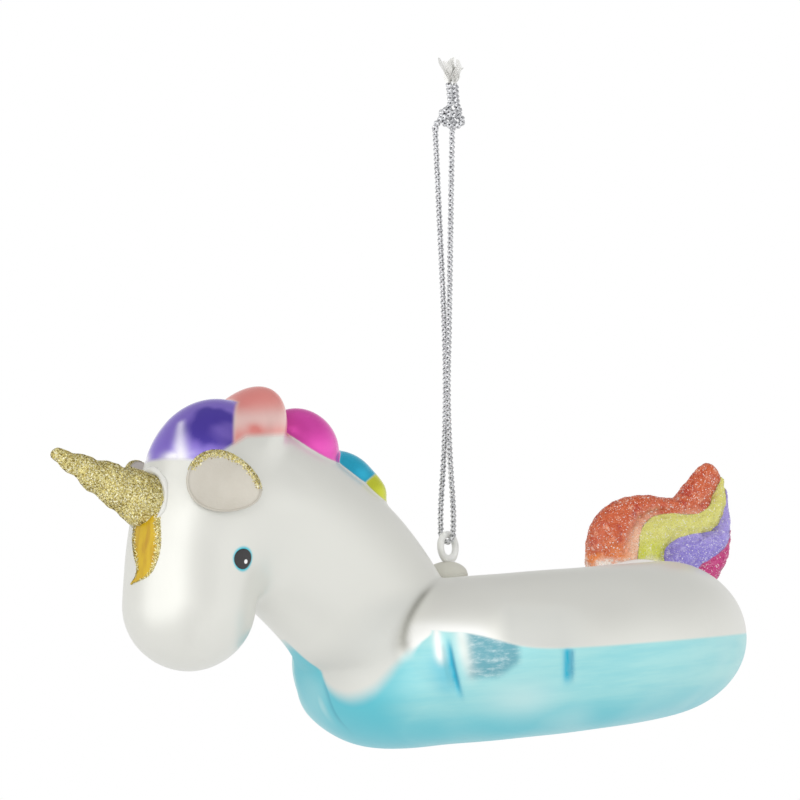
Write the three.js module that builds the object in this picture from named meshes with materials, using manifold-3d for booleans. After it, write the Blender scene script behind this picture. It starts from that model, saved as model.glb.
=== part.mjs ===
// A hanging ornament of blown glass in the form of a unicorn swim ring, on a loop of metallic cord.
// Millimetres, +Z up. The unicorn looks along -X and its left side faces -Y.
// The origin lies inside the top of the cord loop, where a twig or a hook carries the ornament.
import * as THREE from "three";
import { mergeVertices, toCreasedNormals } from "three/addons/utils/BufferGeometryUtils.js";
import Module from "manifold-3d";

const wasm = await Module();
wasm.setup();

// Fits
const SEAT_GAP = 0.3;
const WELD_GRID = 0.004;
const GLASS_WALL = 1;

// Swim ring: a fat tube round a blind well
const RING_OUTER_RADIUS = 41.4;
const TUBE_HALF_WIDTH = 15.1;
const TUBE_HALF_HEIGHT = 14.1;
const BOW_DROP = 1;
const WELL_FLOOR_RADIUS = 6;
const WELL_WEB_HALF_HEIGHT = 4;
const WELL_SHOULDER_SWEEP = 13;
const WELL_FOOT_SWEEP = 5;

// Puckers across the ring's waist, counted from the front on both sides
const PUCKERS = [
  { turn: 36, lean: 4, drop: 1 },
  { turn: 65, lean: 2, drop: 2.5 },
];
const PUCKER_HALF_LENGTH = 5.5;
const PUCKER_HALF_WIDTH = 1;
const PUCKER_DEPTH = 0.55;

// Neck, from inside the ring up to the crown
const NECK_ROOT_REACH = 4.7;
const NECK_ROOT_DEPTH = 0.2;
const NECK_BEND_REACH = 5.2;
const NECK_BEND_RISE = 15.5;
const NECK_ROOT_SECTION = { thick: 12.9, wide: 20 };
const NECK_LOWER_SECTION = { thick: 14.9, wide: 14.8 };
const NECK_UPPER_SECTION = { thick: 15.2, wide: 12.6 };
const NECK_TOP_SECTION = { thick: 13.3, wide: 12 };

// Head, from the neck's top at the crown down to the muzzle
const CROWN_REACH = 21.1;
const CROWN_RISE = 18.9;
const MUZZLE_REACH = 29;
const MUZZLE_RISE = -1.3;
const BROW_REACH = 27;
const BROW_RISE = 10.6;
const CHEEK_SECTION = { thick: 12.4, wide: 11.2 };
const MUZZLE_SECTION = { thick: 11.3, wide: 11.5 };

// Moulded mane: lobes over the crown (lean from upright, backward positive) and down the nape
const CROWN_LOBES = [
  { lean: -2.5, sink: 12.5, along: 12.6, high: 14, inset: 0.7 },
  { lean: 34, sink: 7.75, along: 6.3, high: 14, inset: 0.7 },
];
const NAPE_LOBES = [
  { share: 0.833, sink: 0.5, along: 7.5, high: 6.85, wide: 6.4 },
  { share: 0.668, sink: 0.25, along: 6.2, high: 4, wide: 5.5 },
  { share: 0.605, sink: 1.2, along: 4.5, high: 4.1, wide: 6.5 },
];

// Horn
const HORN_SEAT_SHARE = 0.42;
const HORN_TILT = 27.1;
const HORN_LENGTH = 19.3;
const HORN_BASE_RADIUS = 4.7;
const HORN_TIP_RADIUS = 1.15;
const HORN_ROOT_DEPTH = 4;
const HORN_TWIST_PITCH = 5;
const HORN_TWIST_DEPTH = 0.15;
const HORN_GLUE_WIDTH = 0.7;

// Ears: cupped petals
const EAR_TURN = 60.4;
const EAR_TILT = -0.9;
const EAR_ROLL = 23;
const EAR_LENGTH = 12.8;
const EAR_WIDTH = 9.8;
const EAR_THICKNESS = 1.2;
const EAR_CUP_DEPTH = 1;
const EAR_TIP_TAPER = 0.2;
const EAR_FLAT_SHARE = 0.55;
const EAR_STANDOFF = 0.9;
const EAR_GLUE_RADIUS = 2.6;
const EAR_GLUE_DEPTH = 2.7;

// Tail plume: four strands on two cores, in the ring's middle plane, routed from the tube's top at the back.
// Routes are shares of the plume's reach; half thicknesses and half widths are shares of the strand sizes.
const TAIL_REACH = 26;
const TAIL_STRAND_THICKNESS = 5;
const TAIL_STRAND_WIDTH = 4;
const TAIL_STRANDS = [
  {
    route: [
      [-0.138, -0.115], [-0.131, 0.077], [-0.085, 0.238], [0.046, 0.362], [0.223, 0.412],
      [0.404, 0.396], [0.562, 0.388], [0.723, 0.469], [0.854, 0.592],
    ],
    thick: [0.94, 0.96, 0.88, 0.58, 0.38, 0.32, 0.38, 0.58, 0.5],
    wide: [0.9, 0.9, 0.875, 0.825, 0.775, 0.725, 0.675, 0.575, 0.45],
  },
  {
    route: [
      [0.146, -0.115], [0.177, 0.058], [0.254, 0.192], [0.4, 0.258], [0.554, 0.254],
      [0.677, 0.246], [0.792, 0.277], [0.881, 0.354], [0.935, 0.446],
    ],
    thick: [0.76, 0.72, 0.6, 0.46, 0.36, 0.32, 0.4, 0.36, 0.26],
    wide: [0.9, 0.9, 0.875, 0.85, 0.8, 0.75, 0.65, 0.55, 0.4],
  },
  {
    route: [
      [0.423, -0.154], [0.469, 0], [0.585, 0.085], [0.731, 0.1], [0.862, 0.131], [0.938, 0.215],
      [0.977, 0.331],
    ],
    thick: [0.72, 0.68, 0.52, 0.46, 0.4, 0.3, 0.18],
    wide: [0.875, 0.875, 0.825, 0.775, 0.675, 0.55, 0.35],
  },
  {
    route: [
      [0.481, -0.288], [0.673, -0.177], [0.808, -0.073], [0.915, 0.031], [0.985, 0.185],
    ],
    thick: [0.52, 0.5, 0.4, 0.26, 0.12],
    wide: [0.8, 0.75, 0.675, 0.525, 0.3],
  },
];
const TAIL_CORES = [
  {
    route: [[-0.077, -0.077], [0.123, 0.131], [0.346, 0.231], [0.569, 0.238], [0.785, 0.308]],
    thick: [0.8, 1, 0.8, 0.64, 0.52],
    wide: [0.8, 0.8, 0.775, 0.725, 0.6],
  },
  {
    route: [[0.327, -0.173], [0.538, -0.031], [0.75, 0.023], [0.9, 0.131]],
    thick: [1, 0.84, 0.56, 0.32],
    wide: [0.775, 0.775, 0.7, 0.55],
  },
];
const TAIL_GLUE_WIDTH = 1;
const GLUE_HEIGHT = 1.1;

// Blowing spout and its domed cap
const CAP_INSET = 12;
const CAP_RADIUS = 3.5;
const CAP_WALL = 0.7;
const CAP_SKIRT = 4.4;
const CAP_RISE = 2.3;
const SPOUT_WALL = 0.8;

// Hanger eye
const EYE_RING_RADIUS = 2.25;
const EYE_WIRE_RADIUS = 0.63;
const EYE_STEM_RADIUS = 0.6;
const EYE_STEM_LENGTH = 4;
const EYE_BARB_RADIUS = 1;
const EYE_BARB_LENGTH = 1.2;
const EYE_TURN = 17;

// Cord loop: the two strands' drop below the knot, their spread and the way they face
const CORD_RADIUS = 0.45;
const LOOP_DROP = 74.1;
const HANG_PITCH = 5.4;
const LOOP_STATIONS = [
  { drop: 0, spread: 3.1, facing: -40 },
  { drop: 18, spread: 2, facing: -44 },
  { drop: 36, spread: 1.4, facing: -88 },
  { drop: 48, spread: 1.35, facing: -108 },
  { drop: 59, spread: 1.5, facing: -84 },
];
const LOOP_EASE = 5;

// Knot and the two frayed ends
const KNOT_FOOT_RADIUS = 1.26;
const KNOT_BULGE_RADIUS = 2.52;
const KNOT_WAIST_RADIUS = 1.68;
const KNOT_TOP_RADIUS = 1.05;
const KNOT_HEIGHT = 3.4;
const KNOT_SHIFT = 1;
const KNOT_FACING = -38;
const END_LENGTH = 9;
const END_FRAY_LENGTH = 3.5;
const END_FRAY_RADIUS = 0.85;
const END_SPREAD = 1.7;

// Mesh steps
const OUTSIDE_MESH = { around: 48, profile: 6, sides: 24, steps: 8, lobeSides: 18, lobeSteps: 12 };
const INSIDE_MESH = { around: 26, profile: 4, sides: 14, steps: 5, lobeSides: 8, lobeSteps: 5 };
const STRAND_MESH = { sides: 9, steps: 9 };
const PROFILE_STEPS = 8;
const CAP_STEPS = 4;
const ROUND_SIDES = 20;
const CORD_SIDES = 8;
const CORD_STEPS = 3;
const EYE_STEPS = 24;

const UP = new THREE.Vector3(0, 0, 1);
const LATERAL = new THREE.Vector3(0, 1, 0);
const CREASE_ANGLE = THREE.MathUtils.degToRad(40);
const rad = THREE.MathUtils.degToRad;

// Places that follow from the sizes above
const tubeCentre = RING_OUTER_RADIUS - TUBE_HALF_WIDTH;
const crown = new THREE.Vector3(
  -(RING_OUTER_RADIUS + CROWN_REACH), 0, TUBE_HALF_HEIGHT + CROWN_RISE);
const neckAxis = new THREE.QuadraticBezierCurve3(
  new THREE.Vector3(-(tubeCentre + NECK_ROOT_REACH), 0, -NECK_ROOT_DEPTH),
  new THREE.Vector3(-(tubeCentre + NECK_BEND_REACH), 0, NECK_BEND_RISE),
  crown,
);
const headAxis = new THREE.QuadraticBezierCurve3(
  crown,
  new THREE.Vector3(-(RING_OUTER_RADIUS + BROW_REACH), 0, TUBE_HALF_HEIGHT + BROW_RISE),
  new THREE.Vector3(-(RING_OUTER_RADIUS + MUZZLE_REACH), 0, TUBE_HALF_HEIGHT + MUZZLE_RISE),
);
const neckSections = sectionCurve(
  [NECK_ROOT_SECTION, NECK_LOWER_SECTION, NECK_UPPER_SECTION, NECK_TOP_SECTION]);
const headSections = sectionCurve([NECK_TOP_SECTION, CHEEK_SECTION, MUZZLE_SECTION]);
const crownHalfWidth = headSections.getPoint(0).y;
const spoutRadius = CAP_RADIUS - CAP_WALL - SEAT_GAP;
const spoutBore = spoutRadius - SPOUT_WALL;
const capTop = TUBE_HALF_HEIGHT + CAP_RISE;
const spoutTop = capTop - CAP_WALL - SEAT_GAP;
const capPlace = new THREE.Vector3(-(tubeCentre - CAP_INSET), 0, 0);
const eyeCentre = capTop + EYE_RING_RADIUS + EYE_WIRE_RADIUS + SEAT_GAP;
const hingePlace = capPlace.clone().setZ(eyeCentre + EYE_RING_RADIUS);
const bightRadius = EYE_WIRE_RADIUS + SEAT_GAP + CORD_RADIUS;

// Shape helpers

function sectionCurve(sections) {
  return new THREE.SplineCurve(sections.map((s) => new THREE.Vector2(s.thick, s.wide)));
}

// The bare surface with its vertices closed up on a fine grid and folded triangles left out
function welded(geometry) {
  const bare = geometry.clone();
  bare.deleteAttribute("normal");
  bare.deleteAttribute("uv");
  const place = bare.getAttribute("position");
  for (let i = 0; i < place.array.length; i += 1) {
    place.array[i] = Math.round(place.array[i] / WELD_GRID) * WELD_GRID;
  }
  const merged = mergeVertices(bare, WELD_GRID / 4);
  const index = merged.getIndex().array;
  const kept = new Map();
  for (let i = 0; i < index.length; i += 3) {
    const corners = [index[i], index[i + 1], index[i + 2]];
    const key = [...corners].sort().join();
    if (new Set(corners).size < corners.length) continue;
    if (!kept.delete(key)) kept.set(key, corners);
  }
  merged.setIndex([...kept.values()].flat());
  return merged;
}

function solid(geometry) {
  const surface = welded(geometry);
  const mesh = new wasm.Mesh({
    numProp: 3,
    vertProperties: new Float32Array(surface.getAttribute("position").array),
    triVerts: new Uint32Array(surface.getIndex().array),
  });
  return new wasm.Manifold(mesh);
}

function geometryOf(body) {
  const mesh = body.getMesh();
  const geometry = new THREE.BufferGeometry();
  geometry.setAttribute("position", new THREE.BufferAttribute(mesh.vertProperties, 3));
  geometry.setIndex(new THREE.BufferAttribute(mesh.triVerts, 1));
  return toCreasedNormals(welded(geometry), CREASE_ANGLE);
}

// A skin over closed rings of points, with a fan at both ends
function loft(rings) {
  const sides = rings[0].length;
  const ends = [rings[0], rings[rings.length - 1]].map((ring) =>
    ring.reduce((sum, p) => sum.add(p), new THREE.Vector3()).divideScalar(sides));
  const points = [...rings.flat(), ...ends];
  const index = [];
  for (let row = 0; row + 1 < rings.length; row += 1) {
    for (let k = 0; k < sides; k += 1) {
      const next = (k + 1) % sides;
      const [a, b] = [row * sides + k, row * sides + next];
      const [c, d] = [a + sides, b + sides];
      index.push(a, b, d, a, d, c);
    }
  }
  const first = rings.length * sides;
  const lastRow = (rings.length - 1) * sides;
  for (let k = 0; k < sides; k += 1) {
    const next = (k + 1) % sides;
    index.push(first, next, k);
    index.push(first + 1, lastRow + k, lastRow + next);
  }
  const geometry = new THREE.BufferGeometry().setFromPoints(points);
  geometry.setIndex(index);
  return geometry;
}

// An oval body along a bent axis in the middle plane, with round ends
function ovalBody(axis, sections, offset, mesh) {
  const rings = [];
  const addRing = (share, advance, scale) => {
    const tangent = axis.getTangent(share);
    const across = new THREE.Vector3().crossVectors(LATERAL, tangent);
    const size = sections.getPoint(share);
    const centre = axis.getPoint(share).addScaledVector(tangent, advance * (size.x + offset));
    const oval = size.addScalar(offset).multiplyScalar(scale);
    rings.push(ovalRing(centre, across, oval, mesh.sides));
  };
  for (let k = 1; k <= CAP_STEPS; k += 1) {
    const angle = (k / (CAP_STEPS + 1)) * (Math.PI / 2);
    addRing(0, -Math.cos(angle), Math.sin(angle));
  }
  for (let k = 0; k <= mesh.steps; k += 1) addRing(k / mesh.steps, 0, 1);
  for (let k = CAP_STEPS; k >= 1; k -= 1) {
    const angle = (k / (CAP_STEPS + 1)) * (Math.PI / 2);
    addRing(1, Math.cos(angle), Math.sin(angle));
  }
  return solid(loft(rings));
}

function ovalRing(centre, across, oval, sides) {
  const ring = [];
  for (let k = 0; k < sides; k += 1) {
    const turn = (k / sides) * 2 * Math.PI;
    ring.push(centre.clone()
      .addScaledVector(across, oval.x * Math.cos(turn))
      .addScaledVector(LATERAL, oval.y * Math.sin(turn)));
  }
  return ring;
}

// A round rod along points, with flat ends; the radius may change from point to point
function rod(points, radii) {
  const rings = [];
  let side = new THREE.Vector3(1, 0, 0);
  points.forEach((point, i) => {
    const before = points[Math.max(i - 1, 0)];
    const after = points[Math.min(i + 1, points.length - 1)];
    const tangent = after.clone().sub(before).normalize();
    side = side.clone().addScaledVector(tangent, -side.dot(tangent)).normalize();
    const other = new THREE.Vector3().crossVectors(tangent, side);
    const ring = [];
    for (let k = 0; k < CORD_SIDES; k += 1) {
      const turn = (k / CORD_SIDES) * 2 * Math.PI;
      ring.push(point.clone()
        .addScaledVector(side, radii[i] * Math.cos(turn))
        .addScaledVector(other, radii[i] * Math.sin(turn)));
    }
    rings.push(ring);
  });
  return loft(rings);
}

// A body of revolution round an upright axis
function turned(profile, steps = ROUND_SIDES) {
  return new THREE.LatheGeometry(profile, steps).rotateX(Math.PI / 2);
}

function towards(facing) {
  return new THREE.Vector3(Math.cos(rad(facing)), Math.sin(rad(facing)), 0);
}

// A geometry whose upright axis is turned onto a direction, at a place
function aimed(geometry, direction, place) {
  const turn = new THREE.Quaternion().setFromUnitVectors(UP, direction);
  return geometry.applyQuaternion(turn).translate(place.x, place.y, place.z);
}

// Blown glass

function ringSkin(offset, mesh) {
  const outer = TUBE_HALF_WIDTH + offset;
  const top = TUBE_HALF_HEIGHT + offset;
  const web = WELL_WEB_HALF_HEIGHT + offset;
  const floor = WELL_FLOOR_RADIUS - offset;
  const path = new THREE.Path();
  path.moveTo(0, -web);
  path.lineTo(floor, -web);
  path.bezierCurveTo(
    floor + WELL_FOOT_SWEEP, -web, tubeCentre - WELL_SHOULDER_SWEEP, -top, tubeCentre, -top);
  path.absellipse(tubeCentre, 0, outer, top, -Math.PI / 2, Math.PI / 2, false);
  path.bezierCurveTo(
    tubeCentre - WELL_SHOULDER_SWEEP, top, floor + WELL_FOOT_SWEEP, web, floor, web);
  path.lineTo(0, web);
  const geometry = turned(path.getPoints(mesh.profile), mesh.around);
  const place = geometry.getAttribute("position");
  for (let i = 0; i < place.count; i += 1) {
    const slant = (BOW_DROP / TUBE_HALF_HEIGHT) * (place.getX(i) / tubeCentre);
    place.setZ(i, place.getZ(i) * (place.getZ(i) < 0 ? 1 - slant : 1));
  }
  return solid(geometry);
}

function lobeSkin(lobe, place, outward, offset, mesh) {
  const ahead = new THREE.Vector3().crossVectors(LATERAL, outward);
  const geometry = new THREE.SphereGeometry(1, mesh.lobeSides, mesh.lobeSteps);
  geometry.scale(lobe.along + offset, lobe.wide + offset, lobe.high + offset);
  geometry.applyMatrix4(new THREE.Matrix4().makeBasis(ahead, LATERAL, outward).setPosition(place));
  return solid(geometry);
}

function maneSkins(offset, mesh) {
  const crownSize = headSections.getPoint(0).x;
  const overCrown = CROWN_LOBES.map((lobe) => {
    const outward = new THREE.Vector3(Math.sin(rad(lobe.lean)), 0, Math.cos(rad(lobe.lean)));
    const place = crown.clone().addScaledVector(outward, crownSize - lobe.sink);
    const wide = crownHalfWidth - lobe.inset;
    return lobeSkin({ ...lobe, wide }, place, outward, offset, mesh);
  });
  const downNape = NAPE_LOBES.map((lobe) => {
    const tangent = neckAxis.getTangent(lobe.share);
    const outward = new THREE.Vector3().crossVectors(LATERAL, tangent);
    const size = neckSections.getPoint(lobe.share).x;
    const place = neckAxis.getPoint(lobe.share).addScaledVector(outward, size - lobe.sink);
    return lobeSkin(lobe, place, outward, offset, mesh);
  });
  return [...overCrown, ...downNape];
}

// The glass form without its spout, grown or shrunk by an offset
function glassSkin(offset, mesh = OUTSIDE_MESH) {
  return wasm.Manifold.union([
    ringSkin(offset, mesh),
    ovalBody(neckAxis, neckSections, offset, mesh),
    ovalBody(headAxis, headSections, offset, mesh),
    ...maneSkins(offset, mesh),
  ]);
}

function puckers() {
  return [-1, 1].flatMap((side) => PUCKERS.map((pucker) => {
    const geometry = new THREE.SphereGeometry(1, CORD_SIDES, CORD_SIDES).rotateX(Math.PI / 2);
    geometry.scale(PUCKER_DEPTH, PUCKER_HALF_WIDTH, PUCKER_HALF_LENGTH);
    geometry.rotateX(rad(side * pucker.lean)).translate(-RING_OUTER_RADIUS, 0, -pucker.drop);
    return solid(geometry.rotateZ(rad(-side * pucker.turn)));
  }));
}

function upright(radius, from, to, place) {
  const half = (to - from) / 2;
  const geometry = new THREE.CylinderGeometry(radius, radius, 2 * half, ROUND_SIDES).rotateX(Math.PI / 2);
  return solid(geometry.translate(place.x, place.y, from + half));
}

const skin = glassSkin(0);
const cavity = glassSkin(-GLASS_WALL, INSIDE_MESH);
const seatSkin = glassSkin(SEAT_GAP);
const glueSkin = glassSkin(GLUE_HEIGHT);

function glassBody() {
  const spout = upright(spoutRadius, WELL_WEB_HALF_HEIGHT - GLASS_WALL, spoutTop, capPlace);
  const bore = upright(spoutBore, 0, spoutTop + GLASS_WALL, capPlace);
  return wasm.Manifold.difference([skin.add(spout), cavity, bore, ...puckers()]);
}

// Cap and eye

function hangerCap() {
  const hole = EYE_STEM_RADIUS + SEAT_GAP;
  const inner = CAP_RADIUS - CAP_WALL;
  const rim = capTop - CAP_SKIRT;
  const shoulder = capTop - CAP_RADIUS / 2;
  const path = new THREE.Path();
  path.moveTo(inner, rim);
  path.lineTo(CAP_RADIUS, rim);
  path.lineTo(CAP_RADIUS, shoulder);
  path.quadraticCurveTo(CAP_RADIUS - CAP_WALL, capTop, hole, capTop);
  path.lineTo(hole, capTop - CAP_WALL);
  path.lineTo(inner, capTop - CAP_WALL);
  path.lineTo(inner, rim);
  const cap = solid(turned(path.getPoints(CAP_STEPS)).translate(capPlace.x, capPlace.y, 0));
  return cap.subtract(seatSkin);
}

function hangerEye() {
  const ring = new THREE.TorusGeometry(EYE_RING_RADIUS, EYE_WIRE_RADIUS, CORD_SIDES, EYE_STEPS);
  ring.rotateX(Math.PI / 2).rotateZ(rad(EYE_TURN)).translate(capPlace.x, capPlace.y, eyeCentre);
  const foot = eyeCentre - EYE_RING_RADIUS;
  const stemEnd = foot - EYE_STEM_LENGTH;
  const underCap = capTop - CAP_WALL - SEAT_GAP;
  const barbEnd = Math.min(underCap, stemEnd) - EYE_BARB_LENGTH;
  const profile = [
    new THREE.Vector2(0, barbEnd),
    new THREE.Vector2(EYE_STEM_RADIUS, barbEnd),
    new THREE.Vector2(Math.min(EYE_BARB_RADIUS, spoutBore - SEAT_GAP), barbEnd + EYE_BARB_LENGTH),
    new THREE.Vector2(EYE_STEM_RADIUS, barbEnd + EYE_BARB_LENGTH),
    new THREE.Vector2(EYE_STEM_RADIUS, foot),
    new THREE.Vector2(0, foot),
  ];
  const stem = solid(turned(profile).translate(capPlace.x, capPlace.y, 0));
  return solid(ring).add(stem);
}

// Horn and its glue collar

const hornAim = new THREE.Vector3(-Math.cos(rad(HORN_TILT)), 0, Math.sin(rad(HORN_TILT)));
const hornSeat = headAxis.getPoint(HORN_SEAT_SHARE)
  .addScaledVector(hornAim, headSections.getPoint(HORN_SEAT_SHARE).x);

function hornSolid(offset) {
  const path = new THREE.Path();
  path.moveTo(0, -HORN_ROOT_DEPTH);
  path.lineTo(HORN_BASE_RADIUS + offset, -HORN_ROOT_DEPTH);
  path.lineTo(HORN_BASE_RADIUS + offset, 0);
  path.lineTo(HORN_TIP_RADIUS + offset, HORN_LENGTH - HORN_TIP_RADIUS);
  path.absellipse(0, HORN_LENGTH - HORN_TIP_RADIUS, HORN_TIP_RADIUS + offset, HORN_TIP_RADIUS + offset,
    0, Math.PI / 2, false);
  const rows = path.getSpacedPoints(2 * PROFILE_STEPS);
  const geometry = turned(rows);
  const place = geometry.getAttribute("position");
  for (let i = 0; i < place.count; i += 1) {
    const turn = Math.atan2(place.getY(i), place.getX(i));
    const wave = Math.cos(turn - (place.getZ(i) / HORN_TWIST_PITCH) * 2 * Math.PI);
    const radius = Math.hypot(place.getX(i), place.getY(i));
    if (radius < HORN_TIP_RADIUS / 2) continue;
    const share = 1 + (HORN_TWIST_DEPTH * wave) / radius;
    place.setX(i, place.getX(i) * share);
    place.setY(i, place.getY(i) * share);
  }
  return solid(aimed(geometry, hornAim, hornSeat));
}

const hornFull = hornSolid(0);

function hornGlue() {
  const reach = HORN_BASE_RADIUS + SEAT_GAP + HORN_GLUE_WIDTH;
  const drum = new THREE.CylinderGeometry(reach, reach, 2 * reach, ROUND_SIDES).rotateX(Math.PI / 2);
  const around = solid(aimed(drum, hornAim, hornSeat));
  return around.intersect(glueSkin).subtract(seatSkin).subtract(hornSolid(SEAT_GAP + HORN_TWIST_DEPTH));
}

// Ears

function earSolid(side) {
  const profile = new THREE.Path();
  profile.moveTo(0, 0);
  profile.quadraticCurveTo(EAR_FLAT_SHARE, 0, 1, EAR_CUP_DEPTH);
  profile.lineTo(1, EAR_CUP_DEPTH + EAR_THICKNESS / 2);
  profile.quadraticCurveTo(EAR_FLAT_SHARE, EAR_THICKNESS, 0, EAR_THICKNESS);
  const geometry = turned(profile.getPoints(CAP_STEPS));
  const place = geometry.getAttribute("position");
  for (let i = 0; i < place.count; i += 1) {
    const along = place.getX(i);
    place.setX(i, (along * EAR_LENGTH) / 2);
    place.setY(i, (place.getY(i) * EAR_WIDTH * (1 - EAR_TIP_TAPER * along)) / 2);
  }
  geometry.applyMatrix4(earFrame(side));
  return solid(geometry).subtract(seatSkin);
}

// How far the glass reaches from the crown in one direction, felt with a thin needle
function skinReach(outward) {
  const tip = crown.clone().addScaledVector(outward, 2 * crownHalfWidth);
  const needle = solid(rod([crown, tip], [SEAT_GAP, SEAT_GAP])).intersect(skin);
  const place = geometryOf(needle).getAttribute("position");
  const spot = new THREE.Vector3();
  let reach = 0;
  for (let i = 0; i < place.count; i += 1) {
    reach = Math.max(reach, spot.fromBufferAttribute(place, i).sub(crown).dot(outward));
  }
  return reach;
}

// The ear's place: its length points forward and up, its hollow faces outward from the head
function earFrame(side) {
  const outward = new THREE.Vector3(
    -Math.cos(rad(EAR_TURN)) * Math.cos(rad(EAR_TILT)),
    side * Math.sin(rad(EAR_TURN)) * Math.cos(rad(EAR_TILT)),
    Math.sin(rad(EAR_TILT)));
  const level = new THREE.Vector3().crossVectors(UP, outward).multiplyScalar(-side).normalize();
  const rise = new THREE.Vector3().crossVectors(outward, level).multiplyScalar(-side);
  const length = level.clone().multiplyScalar(Math.cos(rad(EAR_ROLL)))
    .addScaledVector(rise, -Math.sin(rad(EAR_ROLL)));
  const width = new THREE.Vector3().crossVectors(outward, length);
  const place = crown.clone().addScaledVector(outward, skinReach(outward) + EAR_STANDOFF);
  return new THREE.Matrix4().makeBasis(length, width, outward).setPosition(place);
}

function earGlue(side) {
  const frame = earFrame(side);
  const reach = EAR_GLUE_DEPTH + EAR_THICKNESS;
  const drum = new THREE.CylinderGeometry(EAR_GLUE_RADIUS, EAR_GLUE_RADIUS, reach, ROUND_SIDES);
  drum.rotateX(Math.PI / 2).translate(0, 0, -reach / 2 - SEAT_GAP).applyMatrix4(frame);
  return solid(drum).subtract(seatSkin);
}

// Tail

function tailSolid(grow) {
  return wasm.Manifold.union([...TAIL_CORES, ...TAIL_STRANDS].map((strand) => {
    const route = new THREE.CatmullRomCurve3(strand.route.map(([x, z]) =>
      new THREE.Vector3(tubeCentre + x * TAIL_REACH, 0, TUBE_HALF_HEIGHT + z * TAIL_REACH)));
    const sections = sectionCurve(strand.thick.map((share, i) => ({
      thick: share * TAIL_STRAND_THICKNESS,
      wide: strand.wide[i] * TAIL_STRAND_WIDTH,
    })));
    return ovalBody(route, sections, grow, STRAND_MESH);
  }));
}

function tailGlue() {
  return tailSolid(SEAT_GAP + TAIL_GLUE_WIDTH)
    .intersect(glueSkin).subtract(seatSkin).subtract(tailSolid(SEAT_GAP));
}

// Cord

function loopPoints() {
  const strand = (side) => {
    const stations = LOOP_STATIONS.map((s) =>
      towards(s.facing).multiplyScalar((side * s.spread) / 2).setZ(-s.drop));
    const last = towards(EYE_TURN - 90).multiplyScalar(side * bightRadius);
    stations.push(last.clone().setZ(-LOOP_DROP + LOOP_EASE), last.clone().setZ(-LOOP_DROP));
    return new THREE.CatmullRomCurve3(stations).getPoints(CORD_STEPS * stations.length);
  };
  const facing = towards(EYE_TURN - 90);
  const bight = [];
  for (let k = 1; k < PROFILE_STEPS; k += 1) {
    const angle = (k / PROFILE_STEPS) * Math.PI;
    bight.push(facing.clone().multiplyScalar(-bightRadius * Math.cos(angle))
      .setZ(-LOOP_DROP - bightRadius * Math.sin(angle)));
  }
  return [...strand(-1), ...bight, ...strand(1).reverse()];
}

function cordLoop() {
  const points = loopPoints();
  return solid(rod(points, points.map(() => CORD_RADIUS)));
}

const knotPlace = towards(KNOT_FACING).multiplyScalar(KNOT_SHIFT).setZ(SEAT_GAP);

function cordKnot() {
  const half = KNOT_HEIGHT / 2;
  const path = new THREE.Path();
  path.moveTo(0, 0);
  path.lineTo(KNOT_FOOT_RADIUS, 0);
  path.quadraticCurveTo(KNOT_BULGE_RADIUS, half / 2, KNOT_WAIST_RADIUS, half);
  path.quadraticCurveTo(KNOT_BULGE_RADIUS, half + half / 2, KNOT_TOP_RADIUS, KNOT_HEIGHT);
  path.lineTo(0, KNOT_HEIGHT);
  return solid(turned(path.getPoints(CAP_STEPS)).translate(knotPlace.x, knotPlace.y, knotPlace.z));
}

function cordEnd(side) {
  const foot = knotPlace.clone().setZ(knotPlace.z + KNOT_HEIGHT + SEAT_GAP);
  const step = towards(KNOT_FACING).multiplyScalar((side * END_SPREAD) / 2);
  const flare = END_LENGTH - END_FRAY_LENGTH;
  const rise = [0, flare / 2, flare, flare + END_FRAY_LENGTH / 2, END_LENGTH];
  const radii = [CORD_RADIUS, CORD_RADIUS, CORD_RADIUS, END_FRAY_RADIUS, END_FRAY_RADIUS / 2];
  const points = rise.map((z, i) => {
    const swing = Math.max(radii[i] + SEAT_GAP / 2, END_SPREAD / 2) / (END_SPREAD / 2);
    return foot.clone().addScaledVector(step, swing).add(UP.clone().multiplyScalar(z));
  });
  return solid(rod(points, radii));
}

// Assembly

function finish(colour, roughness, metalness) {
  return new THREE.MeshStandardMaterial({ color: colour, roughness, metalness });
}

function piece(name, body, material) {
  const mesh = new THREE.Mesh(geometryOf(body), material);
  mesh.name = name;
  return mesh;
}

const lacquer = () => finish(0xdcdcd6, 0.35, 0.3);
const cream = () => finish(0xded8cd, 0.4, 0.1);
const clear = () => finish(0xe4e2da, 0.2, 0);
const foil = () => finish(0xbfc1c4, 0.35, 0.8);

const ornament = new THREE.Group();
ornament.name = "ornament";
ornament.add(
  piece("glass_body", glassBody(), lacquer()),
  piece("hanger_cap", hangerCap(), lacquer()),
  piece("hanger_eye", hangerEye(), finish(0xd7d7d4, 0.45, 0)),
  piece("horn", hornFull.subtract(seatSkin), finish(0xc8b45a, 0.4, 0.6)),
  piece("horn_glue", hornGlue(), clear()),
  piece("ear_left", earSolid(-1), cream()),
  piece("ear_left_glue", earGlue(-1), clear()),
  piece("ear_right", earSolid(1), cream()),
  piece("ear_right_glue", earGlue(1), clear()),
  piece("tail", tailSolid(0).subtract(seatSkin), finish(0xc98a8c, 0.45, 0.2)),
  piece("tail_glue", tailGlue(), clear()),
);
ornament.position.copy(hingePlace).negate();

const swing = new THREE.Group();
swing.add(ornament);
swing.position.set(0, 0, -LOOP_DROP);
swing.rotation.y = -rad(HANG_PITCH);

const part = new THREE.Group();
part.add(
  swing,
  piece("cord_loop", cordLoop(), foil()),
  piece("cord_knot", cordKnot(), foil()),
  piece("cord_end_left", cordEnd(-1), foil()),
  piece("cord_end_right", cordEnd(1), foil()),
);

export default part;
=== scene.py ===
"""Looks of a hanging blown-glass ornament, a unicorn swim ring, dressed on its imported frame."""
import logging
import math
from dataclasses import dataclass, field
from enum import Enum
from typing import Any, Callable, Sequence

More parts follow.
